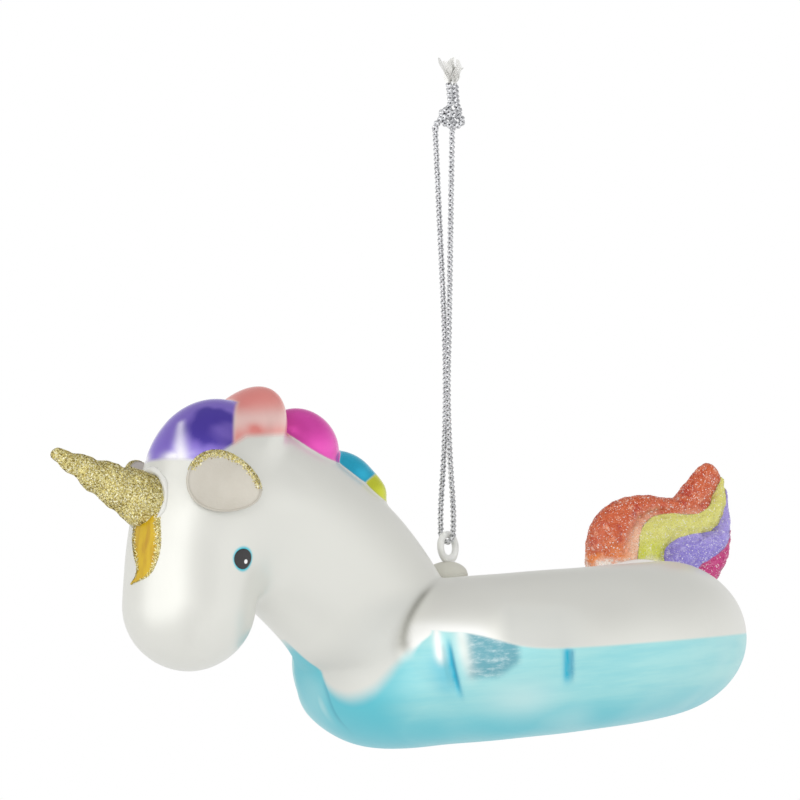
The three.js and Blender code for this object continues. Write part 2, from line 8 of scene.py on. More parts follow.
import bpy
import numpy as np
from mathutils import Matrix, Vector


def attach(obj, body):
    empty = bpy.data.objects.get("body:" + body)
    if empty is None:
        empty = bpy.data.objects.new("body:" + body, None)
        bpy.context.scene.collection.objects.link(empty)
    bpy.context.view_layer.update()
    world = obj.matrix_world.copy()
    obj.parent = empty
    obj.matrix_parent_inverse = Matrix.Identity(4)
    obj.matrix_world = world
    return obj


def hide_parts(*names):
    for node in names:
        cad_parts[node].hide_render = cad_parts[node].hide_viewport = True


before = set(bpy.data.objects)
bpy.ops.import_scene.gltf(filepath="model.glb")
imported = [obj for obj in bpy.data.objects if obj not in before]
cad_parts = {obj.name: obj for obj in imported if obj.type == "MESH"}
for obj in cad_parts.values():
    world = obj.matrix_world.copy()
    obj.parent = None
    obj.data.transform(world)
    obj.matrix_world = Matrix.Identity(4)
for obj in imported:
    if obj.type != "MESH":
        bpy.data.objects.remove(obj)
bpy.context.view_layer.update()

LOG = logging.getLogger("ornament")
MM = 0.001
FULL_TURN = 2 * math.pi
LATERAL = np.array([0.0, 1.0, 0.0])
UPRIGHT = np.array([0.0, 0.0, 1.0])

Array = np.ndarray
Colour = tuple[float, float, float, float]
Field = Callable[[Array], Array]
Shell = tuple[Array, list]
Mesh = bpy.types.Mesh
Piece = bpy.types.Object
Material = bpy.types.Material
Socket = bpy.types.NodeSocket


class Body(Enum):
    """The two bodies of the frame."""

    CORD = "cord"
    ORNAMENT = "ornament"


class Side(Enum):
    """The unicorn's own sides along Y."""

    LEFT = -1
    RIGHT = 1


def paint(red: int, green: int, blue: int) -> Colour:
    """Turn a screen colour into a linear one.

    Args:
        red, green, blue: screen values from 0 to 255.

    Returns:
        The linear colour with full cover.
    """
    def linear(value: float) -> float:
        """Undo the screen curve of one channel."""
        return value / 12.92 if value <= 0.04045 else ((value + 0.055) / 1.055) ** 2.4

    return (linear(red / 255), linear(green / 255), linear(blue / 255), 1.0)


def eased(values: Array, low: float, high: float) -> Array:
    """Rise smoothly from 0 at low to 1 at high.

    Args:
        values: what is measured.
        low, high: where the rise starts and ends; low may be the larger.

    Returns:
        Shares from 0 to 1.
    """
    share = np.clip((values - low) / (high - low), 0, 1)
    return share * share * (3 - 2 * share)


def bell(values: Array, middle: Any, width: Any) -> Array:
    """Give a soft hump of height 1 over a middle."""
    return np.exp(-((values - middle) / width) ** 2)


def joined(first: Array, second: Array, fillet: Any) -> Array:
    """Join two signed distances with a fillet.

    Args:
        first, second: distances in millimetres.
        fillet: width of the fillet, one number or one for each point.

    Returns:
        The distance to both forms together.
    """
    overlap = np.maximum(fillet - np.abs(first - second), 0)
    return np.minimum(first, second) - overlap * overlap / (4 * fillet)


def spline(points: Sequence[Sequence[float]], count: int) -> Array:
    """Run a smooth line through points.

    Args:
        points: what the line passes through.
        count: number of samples.

    Returns:
        The samples, one row each.
    """
    knots = np.asarray(points, float)
    last = len(knots) - 1
    along = np.linspace(0, last, count)
    start = np.minimum(along.astype(int), last - 1)
    share = (along - start)[:, None]
    before, here = knots[np.maximum(start - 1, 0)], knots[start]
    there, after = knots[start + 1], knots[np.minimum(start + 2, last)]
    leave, arrive = (there - before) / 2, (after - here) / 2
    cubic = 2 * here - 2 * there + leave + arrive
    square = 3 * there - 3 * here - 2 * leave - arrive
    return cubic * share**3 + square * share**2 + leave * share + here


def bezier(root: Array, bend: Array, tip: Array, count: int) -> Array:
    """Sample a bent line from root to tip that leans to bend.

    Args:
        root, bend, tip: the three places that shape it.
        count: number of samples.

    Returns:
        The samples, one row each.
    """
    share = np.linspace(0, 1, count)[:, None]
    return (1 - share) ** 2 * root + 2 * (1 - share) * share * bend + share**2 * tip


def read_off(knots: Sequence[Sequence[float]], places: Array, round_by: float) -> Array:
    """Read heights off a line of knots, its corners rounded.

    Args:
        knots: pairs of place and height, by rising place.
        places: where to read.
        round_by: how far each side a corner is rounded.

    Returns:
        One height for each place.
    """
    shifts = np.linspace(-round_by, round_by, 9)
    return np.mean([np.interp(places + shift, *np.transpose(knots)) for shift in shifts], axis=0)


def unit(vectors: Array) -> Array:
    """Scale vectors to length one."""
    return vectors / np.maximum(np.linalg.norm(vectors, axis=-1, keepdims=True), 1e-12)


def facing(degrees: float) -> Array:
    """Give the level direction at an angle from +X."""
    turn = math.radians(degrees)
    return np.array([math.cos(turn), math.sin(turn), 0.0])


def circle(count: int) -> Array:
    """Give evenly spaced angles all round."""
    return np.linspace(0, FULL_TURN, count, endpoint=False)


def ripple(points: Array, length: float, seed: int) -> Array:
    """Give a gentle unevenness of about one.

    Args:
        points: places in millimetres.
        length: distance from crest to crest.
        seed: picks the directions of the waves.

    Returns:
        One value for each point.
    """
    draw = np.random.default_rng(seed)
    total = np.zeros(len(points))
    for _ in range(6):
        way = unit(draw.normal(size=3)) * FULL_TURN / (length * draw.uniform(0.7, 1.5))
        total += np.sin(points @ way + draw.uniform(0, FULL_TURN))
    return total / 3


@dataclass(frozen=True)
class Hanging:
    """How the upright figure (millimetres, ring centre at the origin) hangs in the frame (metres)."""

    hinge: tuple[float, float, float] = (-14.3, 0.0, 21.83)
    drop: float = 74.1
    pitch: float = 5.4

    def place(self, points: Array) -> Array:
        """Turn places on the figure into places in the frame.

        Args:
            points: places in figure millimetres.

        Returns:
            Places in metres.
        """
        lean = math.radians(self.pitch)
        x, y, z = (np.asarray(points, float) - self.hinge).T
        hung = np.stack([
            x * math.cos(lean) - z * math.sin(lean),
            y,
            x * math.sin(lean) + z * math.cos(lean) - self.drop,
        ], axis=1)
        return hung * MM


HANGING = Hanging()


class Limb:
    """An oval body along a bent line in the middle plane, with round ends."""

    SAMPLES = 72

    def __init__(self, line: Array, thick: Array, wide: Array) -> None:
        """Keep the line and its half sizes.

        Args:
            line: samples of the axis, in millimetres.
            thick, wide: half size in the middle plane and across it, at each sample.
        """
        self.line, self.thick, self.wide = line, thick, wide
        self.tangent = unit(np.gradient(line, axis=0))
        self.across = np.cross(LATERAL, self.tangent)

    def field(self, points: Array) -> Array:
        """Measure the distance from the surface, below zero inside.

        Args:
            points: places in millimetres.

        Returns:
            One distance for each point.
        """
        flat = points[:, [0, 2]]
        axis = self.line[:, [0, 2]]
        gaps = (flat**2).sum(1)[:, None] - 2 * flat @ axis.T + (axis**2).sum(1)
        near = gaps.argmin(1)
        pace = np.linalg.norm(np.diff(self.line, axis=0), axis=1).mean()
        slide = ((points - self.line[near]) * self.tangent[near]).sum(1) / pace
        spot = np.clip(near + np.clip(slide, -0.7, 0.7), 0, len(self.line) - 1)
        low = np.minimum(spot.astype(int), len(self.line) - 2)
        share = spot - low

        def at(values: Array) -> Array:
            """Read values between two samples."""
            part = share if values.ndim == 1 else share[:, None]
            return values[low] * (1 - part) + values[low + 1] * part

        offset = points - at(self.line)
        thick, wide = at(self.thick), at(self.wide)
        side = (offset * unit(at(self.across))).sum(1)
        over = (offset * unit(at(self.tangent))).sum(1)
        over = np.where((spot <= 0) | (spot >= len(self.line) - 1), over, 0)
        return oval_distance(np.stack([side, points[:, 1], over], 1),
                             np.stack([thick, wide, thick], 1))

    def shell(self, sides: int = 28, caps: int = 5) -> Shell:
        """Build a closed coarse skin.

        Args:
            sides: points round the body.
            caps: rings in each round end.

        Returns:
            Vertices in millimetres and faces.
        """
        lift = [math.cos(k / (caps + 1) * math.pi / 2) for k in range(1, caps + 1)]
        rows = [(0, -rise) for rise in lift]
        rows += [(k, 0.0) for k in range(len(self.line))]
        rows += [(-1, rise) for rise in reversed(lift)]
        turn = circle(sides)[:, None]
        rings = []
        for k, rise in rows:
            scale = math.sqrt(1 - rise * rise)
            centre = self.line[k] + self.tangent[k] * rise * self.thick[k]
            rings.append(centre + scale * (self.across[k] * self.thick[k] * np.cos(turn)
                                           + LATERAL * self.wide[k] * np.sin(turn)))
        return loft(np.array(rings))


def oval_distance(offset: Array, half: Array) -> Array:
    """Measure the distance from an oval surface to first order.

    Args:
        offset: places from the oval's middle along its three axes.
        half: its half sizes along them.

    Returns:
        One distance for each point, below zero inside.
    """
    size = np.linalg.norm(offset / half, axis=1)
    slope = np.linalg.norm(offset / half**2, axis=1) / np.maximum(size, 1e-9)
    return (size - 1) / np.maximum(slope, 1 / half.max(1))


def loft(rings: Array) -> Shell:
    """Skin closed rings of points and close both ends with a fan.

    Args:
        rings: rows of points, the rows ordered along the body.

    Returns:
        Vertices and faces that point outwards.
    """
    rows, sides = rings.shape[:2]
    faces: list[tuple[int, ...]] = []
    for row in range(rows - 1):
        for k in range(sides):
            a, b = row * sides + k, row * sides + (k + 1) % sides
            faces.append((a, b, b + sides, a + sides))
    first, last, tail = rows * sides, rows * sides + 1, (rows - 1) * sides
    for k in range(sides):
        after = (k + 1) % sides
        faces.append((first, after, k))
        faces.append((last, tail + k, tail + after))
    points = np.concatenate([rings.reshape(-1, 3), [rings[0].mean(0)], [rings[-1].mean(0)]])
    return points, faces


def merged(shells: Sequence[Shell]) -> Shell:
    """Put several skins into one list of vertices and one of faces.

    Args:
        shells: vertices and faces of each skin.

    Returns:
        All vertices and all faces.
    """
    points, faces, start = [], [], 0
    for corners, loops in shells:
        points.append(corners)
        faces += [tuple(k + start for k in loop) for loop in loops]
        start += len(corners)
    return np.concatenate(points), faces


class Oval:
    """A moulded lobe: an ellipsoid turned in the middle plane."""

    def __init__(self, centre: Array, outward: Array, half: Sequence[float]) -> None:
        """Keep the lobe's place.

        Args:
            centre: its middle, in millimetres.
            outward: the way it bulges.
            half: half sizes along the mane, across it and outwards.
        """
        self.centre, self.half = centre, np.asarray(half, float)
        self.axes = np.stack([np.cross(LATERAL, outward), LATERAL, outward])

    def field(self, points: Array) -> Array:
        """Measure the distance from the lobe, below zero inside."""
        return oval_distance((points - self.centre) @ self.axes.T,
                             np.broadcast_to(self.half, points.shape))

    def shell(self, sides: int = 24, rows: int = 14) -> Shell:
        """Build a closed coarse skin of the lobe.

        Args:
            sides: points round it.
            rows: rings between its poles.

        Returns:
            Vertices and faces.
        """
        turn = circle(sides)
        rise = np.linspace(-math.pi / 2, math.pi / 2, rows + 2)[1:-1]
        rings = np.stack([
            np.cos(rise)[:, None] * np.cos(turn),
            np.cos(rise)[:, None] * np.sin(turn),
            np.sin(rise)[:, None] * np.ones(sides),
        ], axis=2)
        return loft((rings * self.half) @ self.axes + self.centre)


@dataclass
class SwimRing:
    """The fat tube round its blind well."""

    outer: float = 41.4
    half_width: float = 15.1
    half_height: float = 14.1
    bow_drop: float = 1.0
    floor_radius: float = 6.0
    web: float = 4.0
    shoulder: float = 13.0
    foot: float = 5.0

    def __post_init__(self) -> None:
        """Sample the well's wall from the top of the tube down to its floor."""
        self.middle = self.outer - self.half_width
        share = np.linspace(0, 1, 160)[:, None]
        wall = np.array([
            (self.middle, self.half_height),
            (self.middle - self.shoulder, self.half_height),
            (self.floor_radius + self.foot, self.web),
            (self.floor_radius, self.web),
        ])
        weights = np.hstack([(1 - share)**3, 3 * (1 - share)**2 * share,
                             3 * (1 - share) * share**2, share**3])
        self.wall = (weights @ wall)[::-1]
        self.slope = np.gradient(self.wall[:, 1], self.wall[:, 0])

    def field(self, points: Array) -> Array:
        """Measure the distance from the ring's skin, below zero inside.

        Args:
            points: places in millimetres.

        Returns:
            One distance for each point.
        """
        keel = 1 - self.bow_drop / self.half_height * points[:, 0] / self.middle
        rise = np.where(points[:, 2] < 0, points[:, 2] / keel, points[:, 2])
        reach = np.hypot(points[:, 0], points[:, 1])
        flat = np.stack([reach - self.middle, rise], 1)
        half = np.broadcast_to([self.half_width, self.half_height], flat.shape)
        outside = oval_distance(flat, half)
        height = np.interp(reach, self.wall[:, 0], self.wall[:, 1])
        slope = np.interp(reach, self.wall[:, 0], self.slope, left=0, right=0)
        inside = (np.abs(rise) - height) / np.sqrt(1 + slope**2)
        return np.where(reach > self.middle, outside, inside)

    def shell(self, around: int = 96) -> Shell:
        """Build a closed coarse skin, with the bow drop left to the exact field.

        Args:
            around: points round the ring.

        Returns:
            Vertices and faces.
        """
        bow = np.linspace(math.pi / 2, -math.pi / 2, 40)
        outside = np.stack([self.middle + self.half_width * np.cos(bow),
                            self.half_height * np.sin(bow)], 1)
        top = self.wall[::8]
        profile = np.concatenate([top, outside, top[::-1] * (1, -1)])
        turn = circle(around)
        rings = np.stack([
            profile[:, :1] * np.cos(turn),
            profile[:, :1] * np.sin(turn),
            profile[:, 1:] * np.ones(around),
        ], axis=2)
        return loft(rings[::-1])


@dataclass(frozen=True)
class Pucker:
    """A short fold across the ring's waist."""

    turn: float
    lean: float
    low: float
    high: float
    width: float
    depth: float


@dataclass
class GlassForm:
    """The whole blown figure as one signed distance, in millimetres."""

    ring: SwimRing = field(default_factory=SwimRing)
    crown: Array = field(default_factory=lambda: np.array([-62.5, 0.0, 33.0]))
    neck_root: tuple[float, float, float] = (-31.0, 0.0, -0.2)
    neck_bend: tuple[float, float, float] = (-31.5, 0.0, 15.5)
    neck_sizes: tuple = ((12.9, 20.0), (14.9, 14.8), (15.2, 12.6), (13.3, 12.0))
    brow: tuple[float, float, float] = (-68.4, 0.0, 24.7)
    muzzle: tuple[float, float, float] = (-70.4, 0.0, 12.8)
    head_sizes: tuple = ((13.3, 12.0), (12.4, 11.2), (11.3, 11.5))
    crown_lobes: tuple = (
        (-2.5, 12.5, (12.6, 11.3, 14.0)),
        (34.0, 7.75, (6.3, 11.3, 14.0)),
    )
    nape_lobes: tuple = (
        (0.833, 0.5, (7.5, 6.4, 6.85)),
        (0.668, 0.25, (6.2, 5.5, 4.0)),
        (0.605, 1.2, (4.5, 6.5, 4.1)),
    )
    puckers: tuple[Pucker, ...] = (
        Pucker(35.2, -7, -5.6, 3.6, 0.85, 0.6),
        Pucker(63.6, 3, -5.6, 0.6, 0.8, 0.55),
        Pucker(107, 0, -1.5, 5.5, 0.7, 0.08),
    )
    wobble: float = 0.05

    def __post_init__(self) -> None:
        """Set up neck, head and mane."""
        count = Limb.SAMPLES
        neck_line = bezier(np.array(self.neck_root), np.array(self.neck_bend), self.crown, count)
        head_line = bezier(self.crown, np.array(self.brow), np.array(self.muzzle), count)
        self.neck = Limb(neck_line, *spline(self.neck_sizes, count).T)
        self.head = Limb(head_line, *spline(self.head_sizes, count).T)
        self.lobes = []
        for lean, sink, half in self.crown_lobes:
            outward = np.array([math.sin(math.radians(lean)), 0, math.cos(math.radians(lean))])
            centre = self.crown + outward * (self.head.thick[0] - sink)
            self.lobes.append(Oval(centre, outward, half))
        for share, sink, half in self.nape_lobes:
            k = round(share * (count - 1))
            outward = self.neck.across[k]
            centre = neck_line[k] + outward * (self.neck.thick[k] - sink)
            self.lobes.append(Oval(centre, outward, half))

    def torso(self, points: Array) -> Array:
        """Measure neck and head together, with a sharp throat and soft cheeks."""
        soft = 0.4 + (2.2 + 3.2 * eased(np.abs(points[:, 1]), 2, 9)) * eased(points[:, 2], 38, 27)
        return joined(self.neck.field(points), self.head.field(points), soft)

    def mane(self, points: Array) -> Array:
        """Measure each lobe of the mane, one row each."""
        return np.stack([lobe.field(points) for lobe in self.lobes])

    def beside(self, fold: Pucker, points: Array) -> Array:
        """Measure along the skin how far points lie behind a fold, in millimetres.

        Args:
            fold: the pucker.
            points: places in millimetres.

        Returns:
            One distance for each point.
        """
        around = np.degrees(np.arctan2(np.abs(points[:, 1]), -points[:, 0]))
        rise = points[:, 2] - (fold.low + fold.high) / 2
        arc = math.radians(1) * self.ring.outer
        return (around - fold.turn) * arc - rise * math.tan(math.radians(fold.lean))

    def folds(self, points: Array) -> Array:
        """Give the depth of the puckers at each point.

        Args:
            points: places in millimetres.

        Returns:
            One depth for each point.
        """
        reach = np.hypot(points[:, 0], points[:, 1])
        outside = eased(reach, self.ring.middle, self.ring.middle + 6)
        depth = np.zeros(len(points))
        for fold in self.puckers:
            rise = points[:, 2]
            span = eased(rise, fold.low - 1.5, fold.low + 2.5) * eased(rise, fold.high + 1.5, fold.high - 2.5)
            depth += fold.depth * span * bell(self.beside(fold, points), 0, fold.width)
        return depth * outside

    def field(self, points: Array) -> Array:
        """Measure the distance from the figure's skin, below zero inside.

        Args:
            points: places in millimetres.

        Returns:
            One distance for each point.
        """
        crease = 0.6 + 4.4 * eased(points[:, 2], 0, -9)
        body = joined(self.ring.field(points) + self.folds(points), self.torso(points), crease)
        lobes = self.mane(points)
        crest = lobes[0]
        for lobe in lobes[1:]:
            crest = joined(crest, lobe, 1.1)
        body = joined(body, crest, 1.2)
        return body - self.wobble * ripple(points, 16, 5)


def settled(form: Field, points: Array, lift: Any = 0.0, rounds: int = 4) -> Array:
    """Move points onto a form's surface.

    Args:
        form: signed distance in millimetres.
        points: places near the surface.
        lift: height above the surface, one number or one for each point.
        rounds: how often the step is made.

    Returns:
        The moved points.
    """
    step = 0.03
    for _ in range(rounds):
        slope = slope_of(form, points, step)
        steep = np.maximum((slope**2).sum(1), 0.15)
        move = np.clip((form(points) - lift) / steep, -1.5, 1.5)
        points = points - move[:, None] * slope
    return points


def slope_of(form: Field, points: Array, step: float = 0.03) -> Array:
    """Give the gradient of a signed distance at points."""
    steps = np.eye(3) * step
    return np.stack([(form(points + axis) - form(points - axis)) / (2 * step) for axis in steps], axis=1)


def plain_mesh(name: str, points: Array, faces: Sequence[Sequence[int]]) -> Mesh:
    """Make a smooth mesh from arrays, in whatever unit the points have.

    Args:
        name: the mesh's name.
        points, faces: its vertices and its loops of them.

    Returns:
        The mesh.
    """
    mesh = bpy.data.meshes.new(name)
    mesh.from_pydata(np.asarray(points, float).tolist(), [], [list(f) for f in faces])
    mesh.validate()
    mesh.polygons.foreach_set("use_smooth", np.ones(len(mesh.polygons), bool))
    mesh.update()
    return mesh


def linked(name: str, mesh: Mesh) -> Piece:
    """Put a mesh into the scene as an object at the origin.

    Args:
        name: the object's name.
        mesh: what it shows.

    Returns:
        The object.
    """
    piece = bpy.data.objects.new(name, mesh)
    bpy.context.scene.collection.objects.link(piece)
    return piece


def corners_of(mesh: Mesh) -> Array:
    """Read a mesh's vertices as an array.

    Args:
        mesh: what is read.

    Returns:
        One row for each vertex.
    """
    places = np.zeros(len(mesh.vertices) * 3)
    mesh.vertices.foreach_get("co", places)
    return places.reshape(-1, 3)


def evaluated(piece: Piece) -> Mesh:
    """Turn an object with its modifiers into a plain mesh."""
    graph = bpy.context.evaluated_depsgraph_get()
    return bpy.data.meshes.new_from_object(piece.evaluated_get(graph))


def one_skin(shells: Sequence[Shell], form: Field, voxel: float, name: str) -> Mesh:
    """Fuse closed shells into one even skin that lies on a form.

    Args:
        shells: vertices and faces, in millimetres.
        form: the signed distance that the skin follows.
        voxel: size of the skin's faces, in millimetres.
        name: name of the mesh.

    Returns:
        The skin, in millimetres.
    """
    raw = linked(name + "_raw", plain_mesh(name + "_raw", *merged(shells)))
    fuse = raw.modifiers.new("fuse", "REMESH")
    fuse.mode = "VOXEL"
    fuse.voxel_size = voxel
    even = raw.modifiers.new("even", "SMOOTH")
    even.factor = 0.5
    even.iterations = 6
    skin = evaluated(raw)
    bpy.data.objects.remove(raw)
    skin.name = name
    skin.vertices.foreach_set("co", settled(form, corners_of(skin)).ravel())
    skin.polygons.foreach_set("use_smooth", np.ones(len(skin.polygons), bool))
    skin.update()
    return skin


def note(mesh: Mesh, name: str, values: Array) -> None:
    """Store one number for each vertex as a named attribute."""
    layer = mesh.attributes.new(name, "FLOAT", "POINT")
    layer.data.foreach_set("value", np.asarray(values, np.float32))


def hang(mesh: Mesh) -> Mesh:
    """Move a mesh from the figure's millimetres into the frame.

    Args:
        mesh: what is moved.

    Returns:
        The same mesh.
    """
    mesh.vertices.foreach_set("co", HANGING.place(corners_of(mesh)).ravel())
    mesh.update()
    return mesh


def tube(path: Array, radii: Array, sides: int = 12, closed: bool = False) -> Shell:
    """Build a round tube along a path.

    Args:
        path: its centre line.
        radii: its radius at each point.
        sides: points round it.
        closed: whether the path runs back into its start.

    Returns:
        Vertices and faces.
    """
    if closed:
        tangent = unit(np.roll(path, -1, 0) - np.roll(path, 1, 0))
    else:
        tangent = unit(np.gradient(path, axis=0))
    side = unit(np.cross(tangent[0], UPRIGHT + 0.3 * LATERAL))
    turn = circle(sides)[:, None]
    rings = []
    for k in range(len(path)):
        side = unit(side - tangent[k] * (side @ tangent[k]))
        other = np.cross(tangent[k], side)
        rings.append(path[k] + radii[k] * (side * np.cos(turn) + other * np.sin(turn)))
    if not closed:
        return loft(np.array(rings))
    rows = len(path)
    faces = []
    for row in range(rows):
        below, above = row * sides, (row + 1) % rows * sides
        for k in range(sides):
            after = (k + 1) % sides
            faces.append((below + k, below + after, above + after, above + k))
    return np.concatenate(rings), faces


class Board:
    """A node tree, with short ways to add nodes."""

    def __init__(self, tree: bpy.types.NodeTree) -> None:
        """Keep the tree."""
        self.tree = tree

    def feed(self, socket: Socket, value: Any) -> None:
        """Link a socket, or set its own value.

        Args:
            socket: what is fed.
            value: another socket, or a plain value.
        """
        if isinstance(value, Socket):
            self.tree.links.new(value, socket)
        else:
            socket.default_value = value

    def add(self, kind: str, inputs: dict[Any, Any] | None = None, **settings: Any) -> bpy.types.Node:
        """Add a node.

        Args:
            kind: the node's type.
            inputs: socket name or index to a value or a socket.
            settings: the node's own properties.

        Returns:
            The node.
        """
        node = self.tree.nodes.new(kind)
        for name, value in settings.items():
            setattr(node, name, value)
        for name, value in (inputs or {}).items():
            self.feed(node.inputs[name], value)
        return node

    def math(self, kind: str, first: Any, second: Any = 0.0, third: Any = 0.0) -> Socket:
        """Add a Math node."""
        return self.add("ShaderNodeMath", {0: first, 1: second, 2: third}, operation=kind).outputs[0]

    def ramp(self, value: Any, low: float, high: float, start: float = 0.0, end: float = 1.0) -> Socket:
        """Go smoothly from start at low to end at high."""
        ends = {"Value": value, "From Min": low, "From Max": high, "To Min": start, "To Max": end}
        return self.add("ShaderNodeMapRange", ends, interpolation_type="SMOOTHSTEP").outputs[0]

    def fall(self, value: Any, low: float, high: float) -> Socket:
        """Fall smoothly from 1 at low to 0 at high."""
        return self.ramp(value, low, high, 1.0, 0.0)

    def between(self, share: Any, first: Any, second: Any) -> Socket:
        """Mix two numbers."""
        return self.add("ShaderNodeMix", {0: share, 2: first, 3: second}).outputs[0]

    def vector(self, x: Any, y: Any, z: Any) -> Socket:
        """Join three numbers into a vector."""
        return self.add("ShaderNodeCombineXYZ", {0: x, 1: y, 2: z}).outputs[0]

    def scaled(self, arrow: Any, amount: Any) -> Socket:
        """Scale a vector."""
        return self.add("ShaderNodeVectorMath", {0: arrow, "Scale": amount}, operation="SCALE").outputs[0]


class Sheet(Board):
    """A material's node sheet round one shader."""

    def __init__(self, name: str) -> None:
        """Start a sheet with the shader and its output.

        Args:
            name: the material's name.
        """
        self.material = bpy.data.materials.new(name)
        self.material.use_nodes = True
        super().__init__(self.material.node_tree)
        self.tree.nodes.clear()
        self.shader = self.add("ShaderNodeBsdfPrincipled")
        self.output = self.add("ShaderNodeOutputMaterial", {0: self.shader.outputs[0]})

    def dress(self, **values: Any) -> None:
        """Set the shader's sockets by name, with _ for a space."""
        for name, value in values.items():
            self.feed(self.shader.inputs[name.replace("_", " ")], value)

    def attribute(self, name: str) -> Socket:
        """Read a vertex attribute."""
        return self.add("ShaderNodeAttribute", attribute_name=name).outputs["Fac"]

    def place(self) -> Socket:
        """Read the place on the piece."""
        return self.add("ShaderNodeTexCoord").outputs["Object"]

    def mixed(self, share: Any, first: Any, second: Any) -> Socket:
        """Mix two colours."""
        return self.add("ShaderNodeMix", {0: share, 6: first, 7: second}, data_type="RGBA").outputs[2]

    def noise(self, at: Any, scale: float, detail: float = 2.0, rough: float = 0.5) -> Socket:
        """Add soft noise from 0 to 1."""
        sizes = {"Vector": at, "Scale": scale, "Detail": detail, "Roughness": rough}
        return self.add("ShaderNodeTexNoise", sizes).outputs[0]

    def far(self, at: Any, spot: Sequence[float]) -> Socket:
        """Measure how far a place is from a spot, in metres."""
        ends = {0: at, 1: tuple(float(v) for v in spot)}
        return self.add("ShaderNodeVectorMath", ends, operation="DISTANCE").outputs["Value"]

    def relief(self, height: Any, depth: float, strength: float = 1.0) -> None:
        """Raise the surface by a height field.

        Args:
            height: values from 0 to 1.
            depth: the height of 1, in metres.
            strength: share of the effect.
        """
        bump = self.add("ShaderNodeBump", {"Strength": strength, "Distance": depth, "Height": height})
        self.feed(self.shader.inputs["Normal"], bump.outputs[0])


